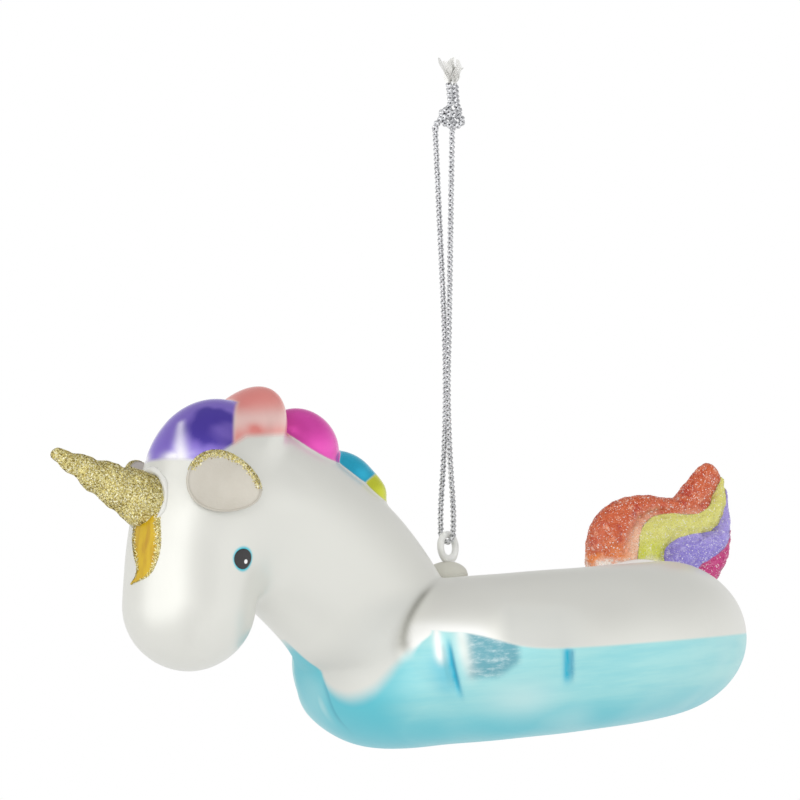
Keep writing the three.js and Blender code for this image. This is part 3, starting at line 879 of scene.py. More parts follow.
@dataclass(frozen=True)
class LacquerFinish:
    """Silvered glass under satin pearl, washed turquoise and candy lacquer."""

    pearl: Colour = paint(227, 227, 221)
    pearl_shade: Colour = paint(221, 221, 214)
    turquoise: Colour = paint(164, 221, 222)
    turquoise_deep: Colour = paint(88, 193, 208)
    turquoise_pale: Colour = paint(194, 229, 229)
    # darker turquoise for the front mould line, and painted shade on the dark sides of the puckers
    seam_and_fold_shade: Colour = paint(36, 132, 164)
    # painted shade: grey laid along the crease where the neck meets the ring
    crease: Colour = paint(140, 139, 130)
    # painted shade: a duller grey pearl on the chest beside the neck crease and on a band of the ring's sides
    # above the waterline
    painted_shade: Colour = paint(204, 205, 200)
    # painted highlight: near-white pearl along the ring's waterline at the front
    lip: Colour = paint(250, 250, 248)
    # painted shade: deep turquoise laid in the pucker grooves
    pucker_shade: Colour = paint(20, 174, 204)
    # thin, scratched lacquer patch, its dark colour a painted dark reflection
    patch_dark_reflection: Colour = paint(100, 164, 177)
    scratch: Colour = paint(196, 218, 221)
    mane: tuple[Colour, ...] = (
        paint(156, 132, 226), paint(240, 152, 145), paint(246, 100, 203),
        paint(62, 204, 232), paint(222, 228, 76),
    )
    mane_deep: tuple[Colour, ...] = (
        paint(124, 100, 207), paint(236, 140, 133), paint(222, 58, 168),
        paint(30, 160, 200), paint(200, 206, 50),
    )
    edges: tuple[float, ...] = (0.5, 0.8, 0.3, 0.25, 0.25)
    # painted dark reflection on the purple lobe
    violet_reflection: Colour = paint(84, 66, 174)
    # painted highlight on the purple lobe, nearly white
    violet_gleam: Colour = paint(252, 250, 255)
    # a paler band on the peach lobe, partly pearl showing through and partly a painted highlight
    blush: Colour = paint(246, 224, 218)
    eye_halo: Colour = paint(70, 196, 214)
    halo_rim: tuple[float, float] = (0.0018, 0.0024)
    rough_blue: float = 0.36
    rough_pearl: float = 0.33
    rough_calm: float = 0.6
    rough_candy: float = 0.2
    metal_blue: float = 0.14
    metal_pearl: float = 0.34
    metal_dimmed: float = 0.1
    metal_candy: tuple[float, ...] = (0.5, 0.35, 0.5, 0.5, 0.5)
    metal_highlight: float = 0.05

    def washed(self, s: Sheet, at: Any) -> tuple[Any, Any]:
        """Lay the turquoise in thin washes, deeper along the keel, with painted shade in the puckers and
        painted sheen in pale patches.

        Args:
            s: the sheet.
            at: the place on the piece.

        Returns:
            The colour, and the share of the thin dark patch, whose darkness is a painted reflection.
        """
        turn, rise = s.attribute("ring_turn"), s.attribute("ring_rise")
        along = s.vector(s.math("MULTIPLY", turn, 0.05), s.math("MULTIPLY", rise, 0.4), 0.0)
        streak = s.ramp(s.noise(along, 1.0, 4, 0.6), 0.35, 0.7)
        colour = s.mixed(s.math("MULTIPLY", streak, 0.3), self.turquoise, self.turquoise_deep)
        keel = s.math("MULTIPLY", s.fall(rise, -13.0, -6.0), 0.85)
        bow = s.math("MULTIPLY", s.fall(turn, 9.0, 23.0), 0.95)
        colour = s.mixed(s.math("MAXIMUM", keel, bow), colour, self.turquoise_deep)
        cloud = s.math("MULTIPLY", s.ramp(s.noise(at, 38, 2), 0.45, 0.75), 0.5)
        stern = s.math("MULTIPLY", s.ramp(turn, 52.0, 72.0), 0.1)
        # painted sheen: pale turquoise patches that stand in for reflections, joined to the pale cloud and
        # stern
        pale = s.math("MAXIMUM", s.math("MAXIMUM", cloud, stern), s.attribute("painted_sheen"))
        colour = s.mixed(pale, colour, self.turquoise_pale)
        # painted shade in the pucker grooves
        colour = s.mixed(s.attribute("pucker_shade"), colour, self.pucker_shade)
        brush = s.vector(s.math("MULTIPLY", turn, 0.4), s.math("MULTIPLY", rise, 1.1), 3.0)
        scrape = s.ramp(s.noise(brush, 1.0, 5, 0.7), 0.42, 0.74)
        # thin, scratched lacquer patch with a painted dark reflection
        dark_reflection_patch = s.attribute("dark_reflection_patch")
        glass = s.mixed(s.math("MULTIPLY", scrape, 0.85), self.patch_dark_reflection, self.scratch)
        # darker front mould line and painted shade on the dark sides of the puckers
        colour = s.mixed(s.attribute("seam_and_fold_shade"), colour, self.seam_and_fold_shade)
        return s.mixed(dark_reflection_patch, colour, glass), dark_reflection_patch

    def sheet(self, eyes: Sequence[Array]) -> Sheet:
        """Lay the lacquers by the body's painted fields.

        Args:
            eyes: where the painted eyes lie, in the frame.

        Returns:
            The finished sheet.
        """
        s = Sheet("lacquered_glass")
        at = s.place()
        pearl = s.mixed(s.noise(at, 55, 3), self.pearl, self.pearl_shade)
        blue, dark_reflection_patch = self.washed(s, at)
        above = s.ramp(s.attribute("water"), -0.3, 0.3)
        neck = s.math("MULTIPLY", s.ramp(s.attribute("neck_side"), -0.4, 0.4),
                     s.ramp(s.attribute("neck_fade"), -1.8, 1.8))
        # the strip mask adds painted highlight: white pearl beside the first pucker
        white = s.math("MAXIMUM", s.math("MAXIMUM", above, neck), s.attribute("strip"))
        # the painted highlight along the waterline and the painted shade beside the neck are mixed into the
        # pearl here
        pearl = s.mixed(s.attribute("lip"), s.mixed(s.attribute("painted_shade"), pearl, self.painted_shade), self.lip)
        # painted shade along the neck crease
        colour = s.mixed(white, blue, s.mixed(s.attribute("crease"), pearl, self.crease))
        dark_reflection_patch = s.math("MULTIPLY", dark_reflection_patch, s.math("SUBTRACT", 1.0, white))
        # the painted shade mask also makes the lacquer rougher and less metallic there
        painted_shade = s.attribute("painted_shade")
        rough = s.between(painted_shade, s.between(white, self.rough_blue, self.rough_pearl), self.rough_calm)
        metal = s.between(s.math("MAXIMUM", dark_reflection_patch, painted_shade),
                          s.between(white, self.metal_blue, self.metal_pearl), self.metal_dimmed)
        for k, (hue, deep, edge) in enumerate(zip(self.mane, self.mane_deep, self.edges)):
            lobe = s.ramp(s.attribute(f"mane_{k}"), -edge, edge)
            candy = s.mixed(s.noise(at, 120, 2), hue, deep)
            if k == 0:
                # painted dark reflection and painted highlight on the purple lobe
                candy = s.mixed(s.attribute("violet_dark_reflection"), candy, self.violet_reflection)
                candy = s.mixed(s.attribute("painted_highlight"), candy, self.violet_gleam)
            if k == 1:
                candy = s.mixed(s.attribute("blush"), candy, self.blush)
            colour = s.mixed(lobe, colour, candy)
            rough = s.between(lobe, rough, self.rough_candy)
            metal = s.between(lobe, metal, self.metal_candy[k])
        # the painted highlight is kept nearly free of metal
        metal = s.between(s.attribute("painted_highlight"), metal, self.metal_highlight)
        for spot in eyes:
            halo = s.fall(s.far(at, spot), *self.halo_rim)
            colour = s.mixed(halo, colour, self.eye_halo)
        s.dress(Base_Color=colour, Roughness=rough, Metallic=metal)
        s.relief(s.noise(at, 900, 2), 0.00001, 0.5)
        return s


@dataclass(frozen=True)
class PlainFinish:
    """A finish of two near colours, with fine cloud and grain."""

    name: str
    light: Colour
    shade: Colour
    roughness: float
    metallic: float = 0.0
    transmission: float = 0.0
    coat: float = 0.0
    cloud: float = 300.0
    grain: float = 2500.0
    depth: float = 0.00004

    def sheet(self) -> Sheet:
        """Make the finish's node sheet.

        Returns:
            The finished sheet.
        """
        s = Sheet(self.name)
        at = s.place()
        cloud = s.noise(at, self.cloud, 3)
        s.dress(Base_Color=s.mixed(cloud, self.light, self.shade), Metallic=self.metallic)
        s.dress(Roughness=s.between(cloud, self.roughness * 0.85, self.roughness * 1.15))
        s.dress(Transmission_Weight=self.transmission, Coat_Weight=self.coat)
        s.dress(IOR=1.47)
        s.relief(s.noise(at, self.grain, 2), self.depth)
        return s


@dataclass(frozen=True)
class FlakeFinish:
    """Glitter flakes, each with its own tone."""

    name: str
    tones: tuple[Colour, ...]
    roughness: float = 0.22
    metallic: float = 0.9

    def sheet(self) -> Sheet:
        """Pick each flake's colour by its own tone.

        Returns:
            The finished sheet.
        """
        s = Sheet(self.name)
        tone = s.attribute("tone")
        colour: Any = self.tones[0]
        for k, hue in enumerate(self.tones[1:], 1):
            edge = k / len(self.tones)
            colour = s.mixed(s.ramp(tone, edge - 0.03, edge + 0.03), colour, hue)
        s.dress(Base_Color=colour, Metallic=self.metallic)
        s.dress(Roughness=s.between(tone, self.roughness * 0.7, self.roughness * 1.4))
        return s


@dataclass(frozen=True)
class YarnFinish:
    """Silver yarn over a dark core."""

    bright: Colour = paint(238, 239, 241)
    dull: Colour = paint(176, 177, 180)
    core: Colour = paint(52, 52, 56)

    def sheet(self) -> Sheet:
        """Vary the yarn's silver and darken the core.

        Returns:
            The finished sheet.
        """
        s = Sheet("silver_yarn")
        at = s.place()
        silver = s.mixed(s.ramp(s.noise(at, 2200, 3), 0.35, 0.7), self.bright, self.dull)
        s.dress(Base_Color=s.mixed(s.attribute("core"), silver, self.core), Roughness=0.28, Metallic=0.7)
        s.relief(s.noise(at, 6000, 2), 0.00003)
        return s


@dataclass(frozen=True)
class PlumeFinish:
    """The tail's four stripes, as paint below the glitter and on the grains."""

    roots: tuple[Colour, ...] = (
        paint(244, 142, 56), paint(212, 218, 54), paint(146, 130, 214), paint(204, 56, 130))
    tips: tuple[Colour, ...] = (
        paint(212, 96, 50), paint(222, 218, 122), paint(172, 158, 226), paint(214, 84, 150))
    lights: tuple[Colour, ...] = (
        paint(246, 170, 134), paint(232, 230, 146), paint(200, 190, 240), paint(228, 124, 172))
    ember: Colour = paint(190, 54, 34)
    frost: Colour = paint(252, 218, 186)
    milk: Colour = paint(246, 240, 232)
    # painted shade laid in the grooves between strands
    groove: Colour = paint(96, 74, 70)
    spark: Colour = paint(254, 252, 250)

    def striped(self, s: Sheet, tones: tuple[Any, ...]) -> Any:
        """Colour the sheet by the nearest strand.

        Args:
            s: the sheet.
            tones: one colour for each strand.

        Returns:
            The colour's socket.
        """
        colour: Any = tones[0]
        for k, hue in enumerate(tones[1:], 1):
            colour = s.mixed(s.ramp(s.attribute(f"strand_{k}"), -0.08, 0.08), colour, hue)
        return colour

    def deep(self, s: Sheet, at: Any) -> Any:
        """Run each stripe from its root's colour to its tip's, with embers in the first.

        Args:
            s: the sheet.
            at: the place on the piece.

        Returns:
            The colour's socket.
        """
        lift = s.math("ADD", s.attribute("lift"), s.math("MULTIPLY", s.noise(at, 260, 3), 7.0))
        share = s.ramp(lift, 3.5, 9.0)
        tones = [s.mixed(share, root, tip) for root, tip in zip(self.roots, self.tips)]
        ember = s.math("MULTIPLY", s.ramp(s.noise(at, 300, 3, 0.6), 0.48, 0.66), s.between(share, 0.35, 0.85))
        tones[0] = s.mixed(ember, tones[0], self.ember)
        frost = s.math("MULTIPLY", s.ramp(s.attribute("strand_1"), -5.5, -1.5), s.fall(lift, 9.0, 14.0))
        tones[0] = s.mixed(s.math("MULTIPLY", frost, 0.8), tones[0], self.frost)
        milk = s.math("MULTIPLY", s.fall(lift, 2.6, 5.0), s.fall(s.attribute("strand_2"), -1.8, -0.3))
        milk = s.math("MULTIPLY", milk, s.fall(s.attribute("strand_3"), -1.8, -0.3))
        return s.mixed(milk, self.striped(s, tuple(tones)), self.milk)

    def base(self) -> Sheet:
        """Paint under the glitter, with painted shade as dark lines in the grooves.

        Returns:
            The finished sheet.
        """
        s = Sheet("plume_paint")
        at = s.place()
        pale = self.striped(s, self.lights)
        colour = s.mixed(s.ramp(s.noise(at, 700, 3), 0.52, 0.75), self.deep(s, at), pale)
        # painted shade: dark lines where two strands meet, broken up by noise
        line = s.fall(s.attribute("groove"), 0.05, 0.3)
        line = s.math("MULTIPLY", line, s.ramp(s.noise(at, 500, 2), 0.35, 0.6))
        colour = s.mixed(s.math("MULTIPLY", line, 0.75), colour, self.groove)
        s.dress(Base_Color=colour, Roughness=0.4, Metallic=0.05, Coat_Weight=0.6, Coat_Roughness=0.08)
        s.relief(s.noise(at, 2800, 2), 0.0001)
        return s

    def grains(self) -> Sheet:
        """Dress the sparkling grains in the stripe below them.

        Returns:
            The finished sheet.
        """
        s = Sheet("plume_grains")
        tone = s.attribute("tone")
        colour = s.mixed(s.ramp(tone, 0.3, 0.9), self.deep(s, s.place()), self.striped(s, self.lights))
        colour = s.mixed(s.ramp(tone, 0.84, 0.88), colour, self.spark)
        s.dress(Base_Color=colour, Metallic=0.2)
        s.dress(Roughness=s.between(tone, 0.3, 0.12))
        return s


@dataclass(frozen=True)
class EyeFinish:
    """Glossy black paint with one white dot."""

    black: Colour = paint(40, 38, 40)
    white: Colour = paint(244, 244, 244)
    worn: Colour = paint(54, 52, 54)
    dot_rim: tuple[float, float] = (0.00033, 0.00043)

    def sheet(self, dots: Sequence[Array]) -> Sheet:
        """Paint the eye, with a dot at each place given.

        Args:
            dots: the dots' places in the frame.

        Returns:
            The finished sheet.
        """
        s = Sheet("eye_paint")
        at = s.place()
        colour: Any = s.mixed(s.noise(at, 1500, 2), self.black, self.worn)
        for spot in dots:
            colour = s.mixed(s.fall(s.far(at, spot), *self.dot_rim), colour, self.white)
        s.dress(Base_Color=colour, Roughness=0.32)
        s.relief(s.noise(at, 2500, 1), 0.00002)
        return s


@dataclass(frozen=True)
class ForelockFinish:
    """Amber paint, brushed along the lock."""

    amber: Colour = paint(210, 174, 8)
    dark: Colour = paint(186, 140, 6)

    def sheet(self) -> Sheet:
        """Streak the paint down the lock.

        Returns:
            The finished sheet.
        """
        s = Sheet("amber_paint")
        at = s.place()
        squeeze = s.add("ShaderNodeMapping", {"Vector": at, "Scale": (1.0, 1.0, 0.2)})
        streak = s.noise(squeeze.outputs[0], 900, 3)
        s.dress(Base_Color=s.mixed(s.ramp(streak, 0.4, 0.75), self.amber, self.dark))
        s.dress(Roughness=0.4, Metallic=0.05, Coat_Weight=0.12, Coat_Roughness=0.15)
        s.relief(streak, 0.00004)
        return s


class Nodes(Board):
    """A geometry node tree with named sizes."""

    def __init__(self, name: str, sizes: dict[str, tuple[str, Any]]) -> None:
        """Start a tree.

        Args:
            name: the tree's name.
            sizes: its inputs: name to socket kind and value.
        """
        super().__init__(bpy.data.node_groups.new(name, "GeometryNodeTree"))
        face = self.tree.interface
        face.new_socket("Geometry", in_out="OUTPUT", socket_type="NodeSocketGeometry")
        face.new_socket("Geometry", in_out="INPUT", socket_type="NodeSocketGeometry")
        self.values: dict[str, Any] = {}
        for label, (kind, value) in sizes.items():
            item = face.new_socket(label, in_out="INPUT", socket_type="NodeSocket" + kind)
            self.values[item.identifier] = value
        self.source = self.add("NodeGroupInput").outputs

    def tumbled(self, most: Socket) -> Socket:
        """Draw a lean and a free turn for each point.

        Args:
            most: the limit of the lean, in radians.

        Returns:
            The rotation's socket.
        """
        least = self.math("MULTIPLY", most, -1.0)
        low, high = self.vector(least, least, -math.pi), self.vector(most, most, math.pi)
        draw = self.add("FunctionNodeRandomValue", {0: low, 1: high, "Seed": self.source["Seed"]},
                        data_type="FLOAT_VECTOR")
        return draw.outputs[0]

    def drawn(self, low: float, high: float, shift: float) -> Socket:
        """Draw a number between two limits for each point."""
        seed = self.math("ADD", self.source["Seed"], shift)
        return self.add("FunctionNodeRandomValue", {2: low, 3: high, "Seed": seed}).outputs[1]

    def end(self, shape: Socket) -> None:
        """Finish the tree with real meshes in the given material.

        Args:
            shape: what the tree has made.
        """
        real = self.add("GeometryNodeRealizeInstances", {0: shape})
        clad = self.add("GeometryNodeSetMaterial", {0: real.outputs[0], "Material": self.source["Material"]})
        self.add("NodeGroupOutput", {0: clad.outputs[0]})

    def made(self, source: Piece, name: str) -> Piece:
        """Run the tree on an object and keep the result as a plain mesh.

        Args:
            source: what the tree starts from; it is removed.
            name: name of the new piece.

        Returns:
            The new piece.
        """
        run = source.modifiers.new("make", "NODES")
        run.node_group = self.tree
        for key, value in self.values.items():
            run[key] = value
        mesh = evaluated(source)
        mesh.name = name
        bpy.data.objects.remove(source)
        return linked(name, mesh)


def flake_tree(density: float, size: float, tilt: float, lift: float, seed: int,
               finish: Material, sides: int = 6) -> Nodes:
    """Make a tree that strews flakes over a surface where its glitter attribute says so.

    Args:
        density: flakes in a square metre.
        size: a flake's radius, in metres.
        tilt: the most that a flake leans, in radians.
        lift: height of a flake's middle above the surface, in metres.
        seed: picks the flakes' places.
        finish: the flakes' material.
        sides: corners of a flake.

    Returns:
        The tree.
    """
    n = Nodes("flakes", {
        "Density": ("Float", density), "Size": ("Float", size), "Tilt": ("Float", tilt),
        "Lift": ("Float", lift), "Seed": ("Int", seed), "Material": ("Material", finish)})
    cover = n.add("GeometryNodeInputNamedAttribute", {"Name": "glitter"}, data_type="FLOAT")
    amount = n.math("MULTIPLY", n.source["Density"], cover.outputs[0])
    strewn = n.add("GeometryNodeDistributePointsOnFaces",
                   {"Mesh": n.source["Geometry"], "Density": amount, "Seed": n.source["Seed"]},
                   distribute_method="RANDOM")
    raised = n.scaled(strewn.outputs["Normal"], n.source["Lift"])
    moved = n.add("GeometryNodeSetPosition", {0: strewn.outputs["Points"], "Offset": raised})
    turned = n.add("FunctionNodeRotateRotation",
                   {0: strewn.outputs["Rotation"], 1: n.tumbled(n.source["Tilt"])}, rotation_space="LOCAL")
    flake = n.add("GeometryNodeMeshCircle", {"Vertices": sides, "Radius": n.source["Size"]}, fill_type="NGON")
    laid = n.add("GeometryNodeInstanceOnPoints", {
        "Points": moved.outputs[0], "Instance": flake.outputs[0],
        "Rotation": turned.outputs[0], "Scale": n.drawn(0.55, 1.3, 3.0)})
    toned = n.add("GeometryNodeStoreNamedAttribute", {
        "Geometry": laid.outputs[0], "Name": "tone", "Value": n.drawn(0.0, 1.0, 7.0)},
        domain="INSTANCE", data_type="FLOAT")
    n.end(toned.outputs[0])
    return n


def braid_tree(radius: float, yarn: float, pitch: float, pace: float,
               finish: Material, yarns: int = 4) -> Nodes:
    """Make a tree that braids yarns round a line.

    Args:
        radius: the cord's radius, in metres.
        yarn: one yarn's radius.
        pitch: length of a yarn's full turn.
        pace: length of a step along the line.
        finish: the cord's material.
        yarns: number of yarns, half of them each way round.

    Returns:
        The tree.
    """
    n = Nodes("braid", {
        "Radius": ("Float", radius), "Yarn": ("Float", yarn), "Pitch": ("Float", pitch),
        "Pace": ("Float", pace), "Yarns": ("Int", yarns), "Material": ("Material", finish)})
    line = n.add("GeometryNodeResampleCurve",
                 {0: n.source["Geometry"], "Length": n.source["Pace"]}, mode="LENGTH")
    copies = n.add("GeometryNodeDuplicateElements",
                   {0: line.outputs[0], "Amount": n.source["Yarns"]}, domain="SPLINE")
    index = copies.outputs["Duplicate Index"]
    way = n.math("SUBTRACT", n.math("MULTIPLY", n.math("MODULO", index, 2.0), 2.0), 1.0)
    length = n.add("GeometryNodeSplineParameter").outputs["Length"]
    run = n.math("MULTIPLY", n.math("DIVIDE", length, n.source["Pitch"]), FULL_TURN)
    start = n.math("MULTIPLY", n.math("DIVIDE", index, n.source["Yarns"]), FULL_TURN)
    angle = n.math("ADD", start, n.math("MULTIPLY", run, way))
    weave = n.math("COSINE", n.math("MULTIPLY", angle, n.math("DIVIDE", n.source["Yarns"], 2.0)))
    sway = n.math("MULTIPLY", n.math("MULTIPLY", weave, way), n.math("MULTIPLY", n.source["Yarn"], 0.45))
    reach = n.math("SUBTRACT", n.source["Radius"], n.math("MULTIPLY", n.source["Yarn"], 1.45))
    reach = n.math("ADD", reach, sway)
    normal = n.add("GeometryNodeInputNormal").outputs[0]
    tangent = n.add("GeometryNodeInputTangent").outputs[0]
    other = n.add("ShaderNodeVectorMath", {0: tangent, 1: normal}, operation="CROSS_PRODUCT").outputs[0]
    parts = []
    for kind, axis in (("COSINE", normal), ("SINE", other)):
        amount = n.math("MULTIPLY", reach, n.math(kind, angle))
        parts.append(n.scaled(axis, amount))
    offset = n.add("ShaderNodeVectorMath", {0: parts[0], 1: parts[1]}, operation="ADD")
    wound = n.add("GeometryNodeSetPosition", {0: copies.outputs[0], "Offset": offset.outputs[0]})
    round_yarn = n.add("GeometryNodeCurvePrimitiveCircle", {"Resolution": 5, "Radius": n.source["Yarn"]})
    yarn_mesh = n.add("GeometryNodeCurveToMesh",
                      {0: wound.outputs[0], 1: round_yarn.outputs[0], "Fill Caps": True})
    inner = n.math("MULTIPLY", n.source["Radius"], 0.5)
    round_core = n.add("GeometryNodeCurvePrimitiveCircle", {"Resolution": 6, "Radius": inner})
    core = n.add("GeometryNodeCurveToMesh", {0: line.outputs[0], 1: round_core.outputs[0], "Fill Caps": True})
    both = n.add("GeometryNodeJoinGeometry")
    n.tree.links.new(yarn_mesh.outputs[0], both.inputs[0])
    marked = n.add("GeometryNodeStoreNamedAttribute",
                   {"Geometry": core.outputs[0], "Name": "core", "Value": 1.0},
                   domain="POINT", data_type="FLOAT")
    n.tree.links.new(marked.outputs[0], both.inputs[0])
    smooth = n.add("GeometryNodeSetShadeSmooth", {0: both.outputs[0]})
    n.end(smooth.outputs[0])
    return n


def fray_tree(amount: float, length: float, width: float, splay: float, seed: int,
              finish: Material) -> Nodes:
    """Make a tree that grows loose film strips from a small patch.

    Args:
        amount: strips in a square metre of the patch.
        length, width: a strip's sizes, in metres.
        splay: the most that a strip leans, in radians.
        seed: picks the strips.
        finish: their material.

    Returns:
        The tree.
    """
    n = Nodes("fray", {
        "Amount": ("Float", amount), "Length": ("Float", length), "Width": ("Float", width),
        "Splay": ("Float", splay), "Seed": ("Int", seed), "Material": ("Material", finish)})
    roots = n.add("GeometryNodeDistributePointsOnFaces",
                  {"Mesh": n.source["Geometry"], "Density": n.source["Amount"], "Seed": n.source["Seed"]},
                  distribute_method="RANDOM")
    strip = n.add("GeometryNodeMeshGrid", {
        "Size X": n.source["Width"], "Size Y": n.source["Length"], "Vertices X": 3, "Vertices Y": 9})
    spot = n.add("ShaderNodeSeparateXYZ", {0: n.add("GeometryNodeInputPosition").outputs[0]})
    share = n.math("ADD", n.math("DIVIDE", spot.outputs[1], n.source["Length"]), 0.5)
    curl = n.math("MULTIPLY", n.math("MULTIPLY", share, share), n.math("MULTIPLY", n.source["Length"], 0.2))
    belly = n.math("ADD", n.math("SINE", n.math("MULTIPLY", share, 2.9)), 0.25)
    flare = n.math("MULTIPLY", spot.outputs[0], belly)
    sway = n.math("SINE", n.math("MULTIPLY", share, 7.0))
    twist = n.math("MULTIPLY", sway, n.math("MULTIPLY", n.source["Width"], 0.3))
    up = n.math("MULTIPLY", share, n.source["Length"])
    bent = n.vector(n.math("ADD", flare, twist), curl, up)
    shaped = n.add("GeometryNodeSetPosition", {0: strip.outputs["Mesh"], "Position": bent})
    grown = n.add("GeometryNodeInstanceOnPoints", {
        "Points": roots.outputs["Points"], "Instance": shaped.outputs[0],
        "Rotation": n.tumbled(n.source["Splay"]), "Scale": n.drawn(0.55, 1.1, 3.0)})
    n.end(grown.outputs[0])
    return n


def keep(piece: Piece, body: Body, slot: str, *nodes: str) -> Piece:
    """Tie a finished piece to its body and hide the CAD nodes that it stands for.

    Args:
        piece: the piece, in place.
        body: what it moves with.
        slot: not used.
        nodes: CAD nodes that it replaces.

    Returns:
        The piece.
    """
    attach(piece, body.value)
    if nodes:
        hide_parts(*nodes)
    LOG.info("%s: %d faces on %s", piece.name, len(piece.data.polygons), body.value)
    return piece


def dressed(name: str, points: Array, faces: Sequence[Sequence[int]], finish: Material) -> Piece:
    """Make a piece from figure millimetres, hung in the frame and dressed.

    Args:
        name: the piece's name.
        points, faces: its vertices and its loops of them.
        finish: the material.

    Returns:
        The piece.
    """
    mesh = hang(plain_mesh(name, points, faces))
    mesh.materials.append(finish)
    return linked(name, mesh)


def glittered(piece: Piece, cover: Array, tree: Nodes, name: str) -> Piece:
    """Strew flakes over a copy of a piece.

    Args:
        piece: what carries the flakes.
        cover: how thickly each vertex is strewn, from 0 to 1.
        tree: the flakes' tree.
        name: name of the flakes' piece.

    Returns:
        The flakes alone.
    """
    source = piece.copy()
    source.data = piece.data.copy()
    bpy.context.scene.collection.objects.link(source)
    note(source.data, "glitter", cover)
    return tree.made(source, name)


@dataclass
class Studio:
    """Camera, lamps, backdrop and floor."""

    azimuth: float = -36.0
    elevation: float = -6.1
    distance: float = 0.65
    pixel: float = 0.00018
    frame_pixels: int = 800
    hinge: tuple[float, float, float] = (0.0, 0.0, -0.0741)
    hinge_pixel: tuple[float, float] = (447.0, 534.5)
    floor_height: float = -0.30
    floor_half: float = 3.0
    floor_glow: float = 0.7
    fill_light: float = 0.86
    gloss_side: float = 0.94
    gloss_top: float = 0.34
    sky_rise: tuple[float, float] = (0.05, 0.8)
    window_left: tuple[float, float] = (-128.0, -104.0)
    window_right: tuple[float, float] = (-52.0, -36.0)
    window_lean: float = 32.0
    window_low: tuple[float, float] = (-0.75, -0.2)
    window_high: tuple[float, float] = (0.5, 0.95)
    window_light: float = 0.88
    flag_left: tuple[float, float] = (-34.0, -20.0)
    flag_right: tuple[float, float] = (-4.0, 16.0)
    flag_depth: float = 0.22
    lamp_aim: tuple[float, float, float] = (0.0, 0.0, -0.085)

    def build(self) -> None:
        """Set up everything round the object."""
        self.camera()
        self.lamp("key_softbox", azimuth=-48, elevation=6, away=1.2, size=(0.9, 1.2), power=4.2)
        self.lamp("fill_softbox", azimuth=30, elevation=4, away=1.2, size=(0.7, 1.0), power=1.6)
        self.lamp("back_softbox", azimuth=152, elevation=20, away=1.2, size=(0.8, 0.8), power=0.8)
        self.backdrop()
        self.floor()
        bpy.context.scene.view_settings.view_transform = "Standard"

    def towards(self, azimuth: float, elevation: float) -> Vector:
        """Give the direction from the object to a stand at an azimuth and elevation."""
        a, e = math.radians(azimuth), math.radians(elevation)
        return Vector((math.sin(a) * math.cos(e), -math.cos(a) * math.cos(e), math.sin(e)))

    @staticmethod
    def stood(stand: Piece, place: Vector, back: Vector) -> None:
        """Stand a camera or lamp at a place, turned away from its back.

        Args:
            stand: the camera or lamp.
            place: where it stands, in metres.
            back: the way its back points.
        """
        stand.location = place
        stand.rotation_mode = "QUATERNION"
        stand.rotation_quaternion = (-back).to_track_quat("-Z", "Y")
        bpy.context.scene.collection.objects.link(stand)

    def camera(self) -> None:
        """Put the camera at the photograph's viewing angle."""
        data = bpy.data.cameras.new("camera")
        data.sensor_width = 36.0
        data.lens = data.sensor_width * self.distance / self.pixel / self.frame_pixels
        data.clip_start, data.clip_end = 0.02, 40.0
        back = self.towards(self.azimuth, self.elevation)
        right = Vector((math.cos(math.radians(self.azimuth)), math.sin(math.radians(self.azimuth)), 0))
        up = back.cross(right)
        middle = self.frame_pixels / 2
        target = Vector(self.hinge) - right * (self.hinge_pixel[0] - middle) * self.pixel
        target += up * (self.hinge_pixel[1] - middle) * self.pixel
        stand = bpy.data.objects.new("camera", data)
        self.stood(stand, target + back * self.distance, back)
        bpy.context.scene.camera = stand

    def lamp(self, name: str, azimuth: float, elevation: float, away: float,
             size: tuple[float, float], power: float) -> None:
        """Stand a softbox that faces the ornament.

        Args:
            name: its name.
            azimuth, elevation: where it stands, in degrees.
            away: its distance, in metres.
            size: width and height, in metres.
            power: in watts.
        """
        data = bpy.data.lights.new(name, "AREA")
        data.shape = "RECTANGLE"
        data.size, data.size_y = size
        data.energy = power
        stand = bpy.data.objects.new(name, data)
        stand.visible_glossy = stand.visible_camera = False
        back = self.towards(azimuth, elevation)
        self.stood(stand, Vector(self.lamp_aim) + back * away, back)

    def backdrop(self) -> None:
        """Surround the object with white, and with a tall softbox and a flag for what reflects them."""
        world = bpy.data.worlds.new("backdrop")
        bpy.context.scene.world = world
        world.use_nodes = True
        b = Board(world.node_tree)
        b.tree.nodes.clear()
        spot = b.add("ShaderNodeTexCoord").outputs["Generated"]
        x, y, z = b.add("ShaderNodeSeparateXYZ", {0: spot}).outputs
        turn = b.math("MULTIPLY", b.math("ARCTAN2", x, b.math("MULTIPLY", y, -1.0)), 180 / math.pi)
        leaned = b.math("MULTIPLY_ADD", z, -self.window_lean, turn)
        sides = b.math("MULTIPLY", b.ramp(turn, *self.window_left), b.fall(leaned, *self.window_right))
        height = b.math("MULTIPLY", b.ramp(z, *self.window_low), b.fall(z, *self.window_high))
        window = b.math("MULTIPLY", sides, height)
        flag = b.math("MULTIPLY", b.ramp(leaned, *self.flag_left), b.fall(leaned, *self.flag_right))
        lit = b.math("SUBTRACT", 1.0, b.math("MULTIPLY", flag, self.flag_depth))
        sky = b.ramp(z, *self.sky_rise, self.gloss_side, self.gloss_top)
        gloss = b.math("MULTIPLY_ADD", window, self.window_light, b.math("MULTIPLY", sky, lit))
        path = b.add("ShaderNodeLightPath").outputs
        level = b.between(path["Is Glossy Ray"], self.fill_light, gloss)
        seen = b.math("MAXIMUM", path["Is Camera Ray"], path["Is Transmission Ray"])
        strength = b.between(seen, level, 1.0)
        light = b.add("ShaderNodeBackground", {"Strength": strength, "Color": (1, 1, 1, 1)})
        b.add("ShaderNodeOutputWorld", {0: light.outputs[0]})

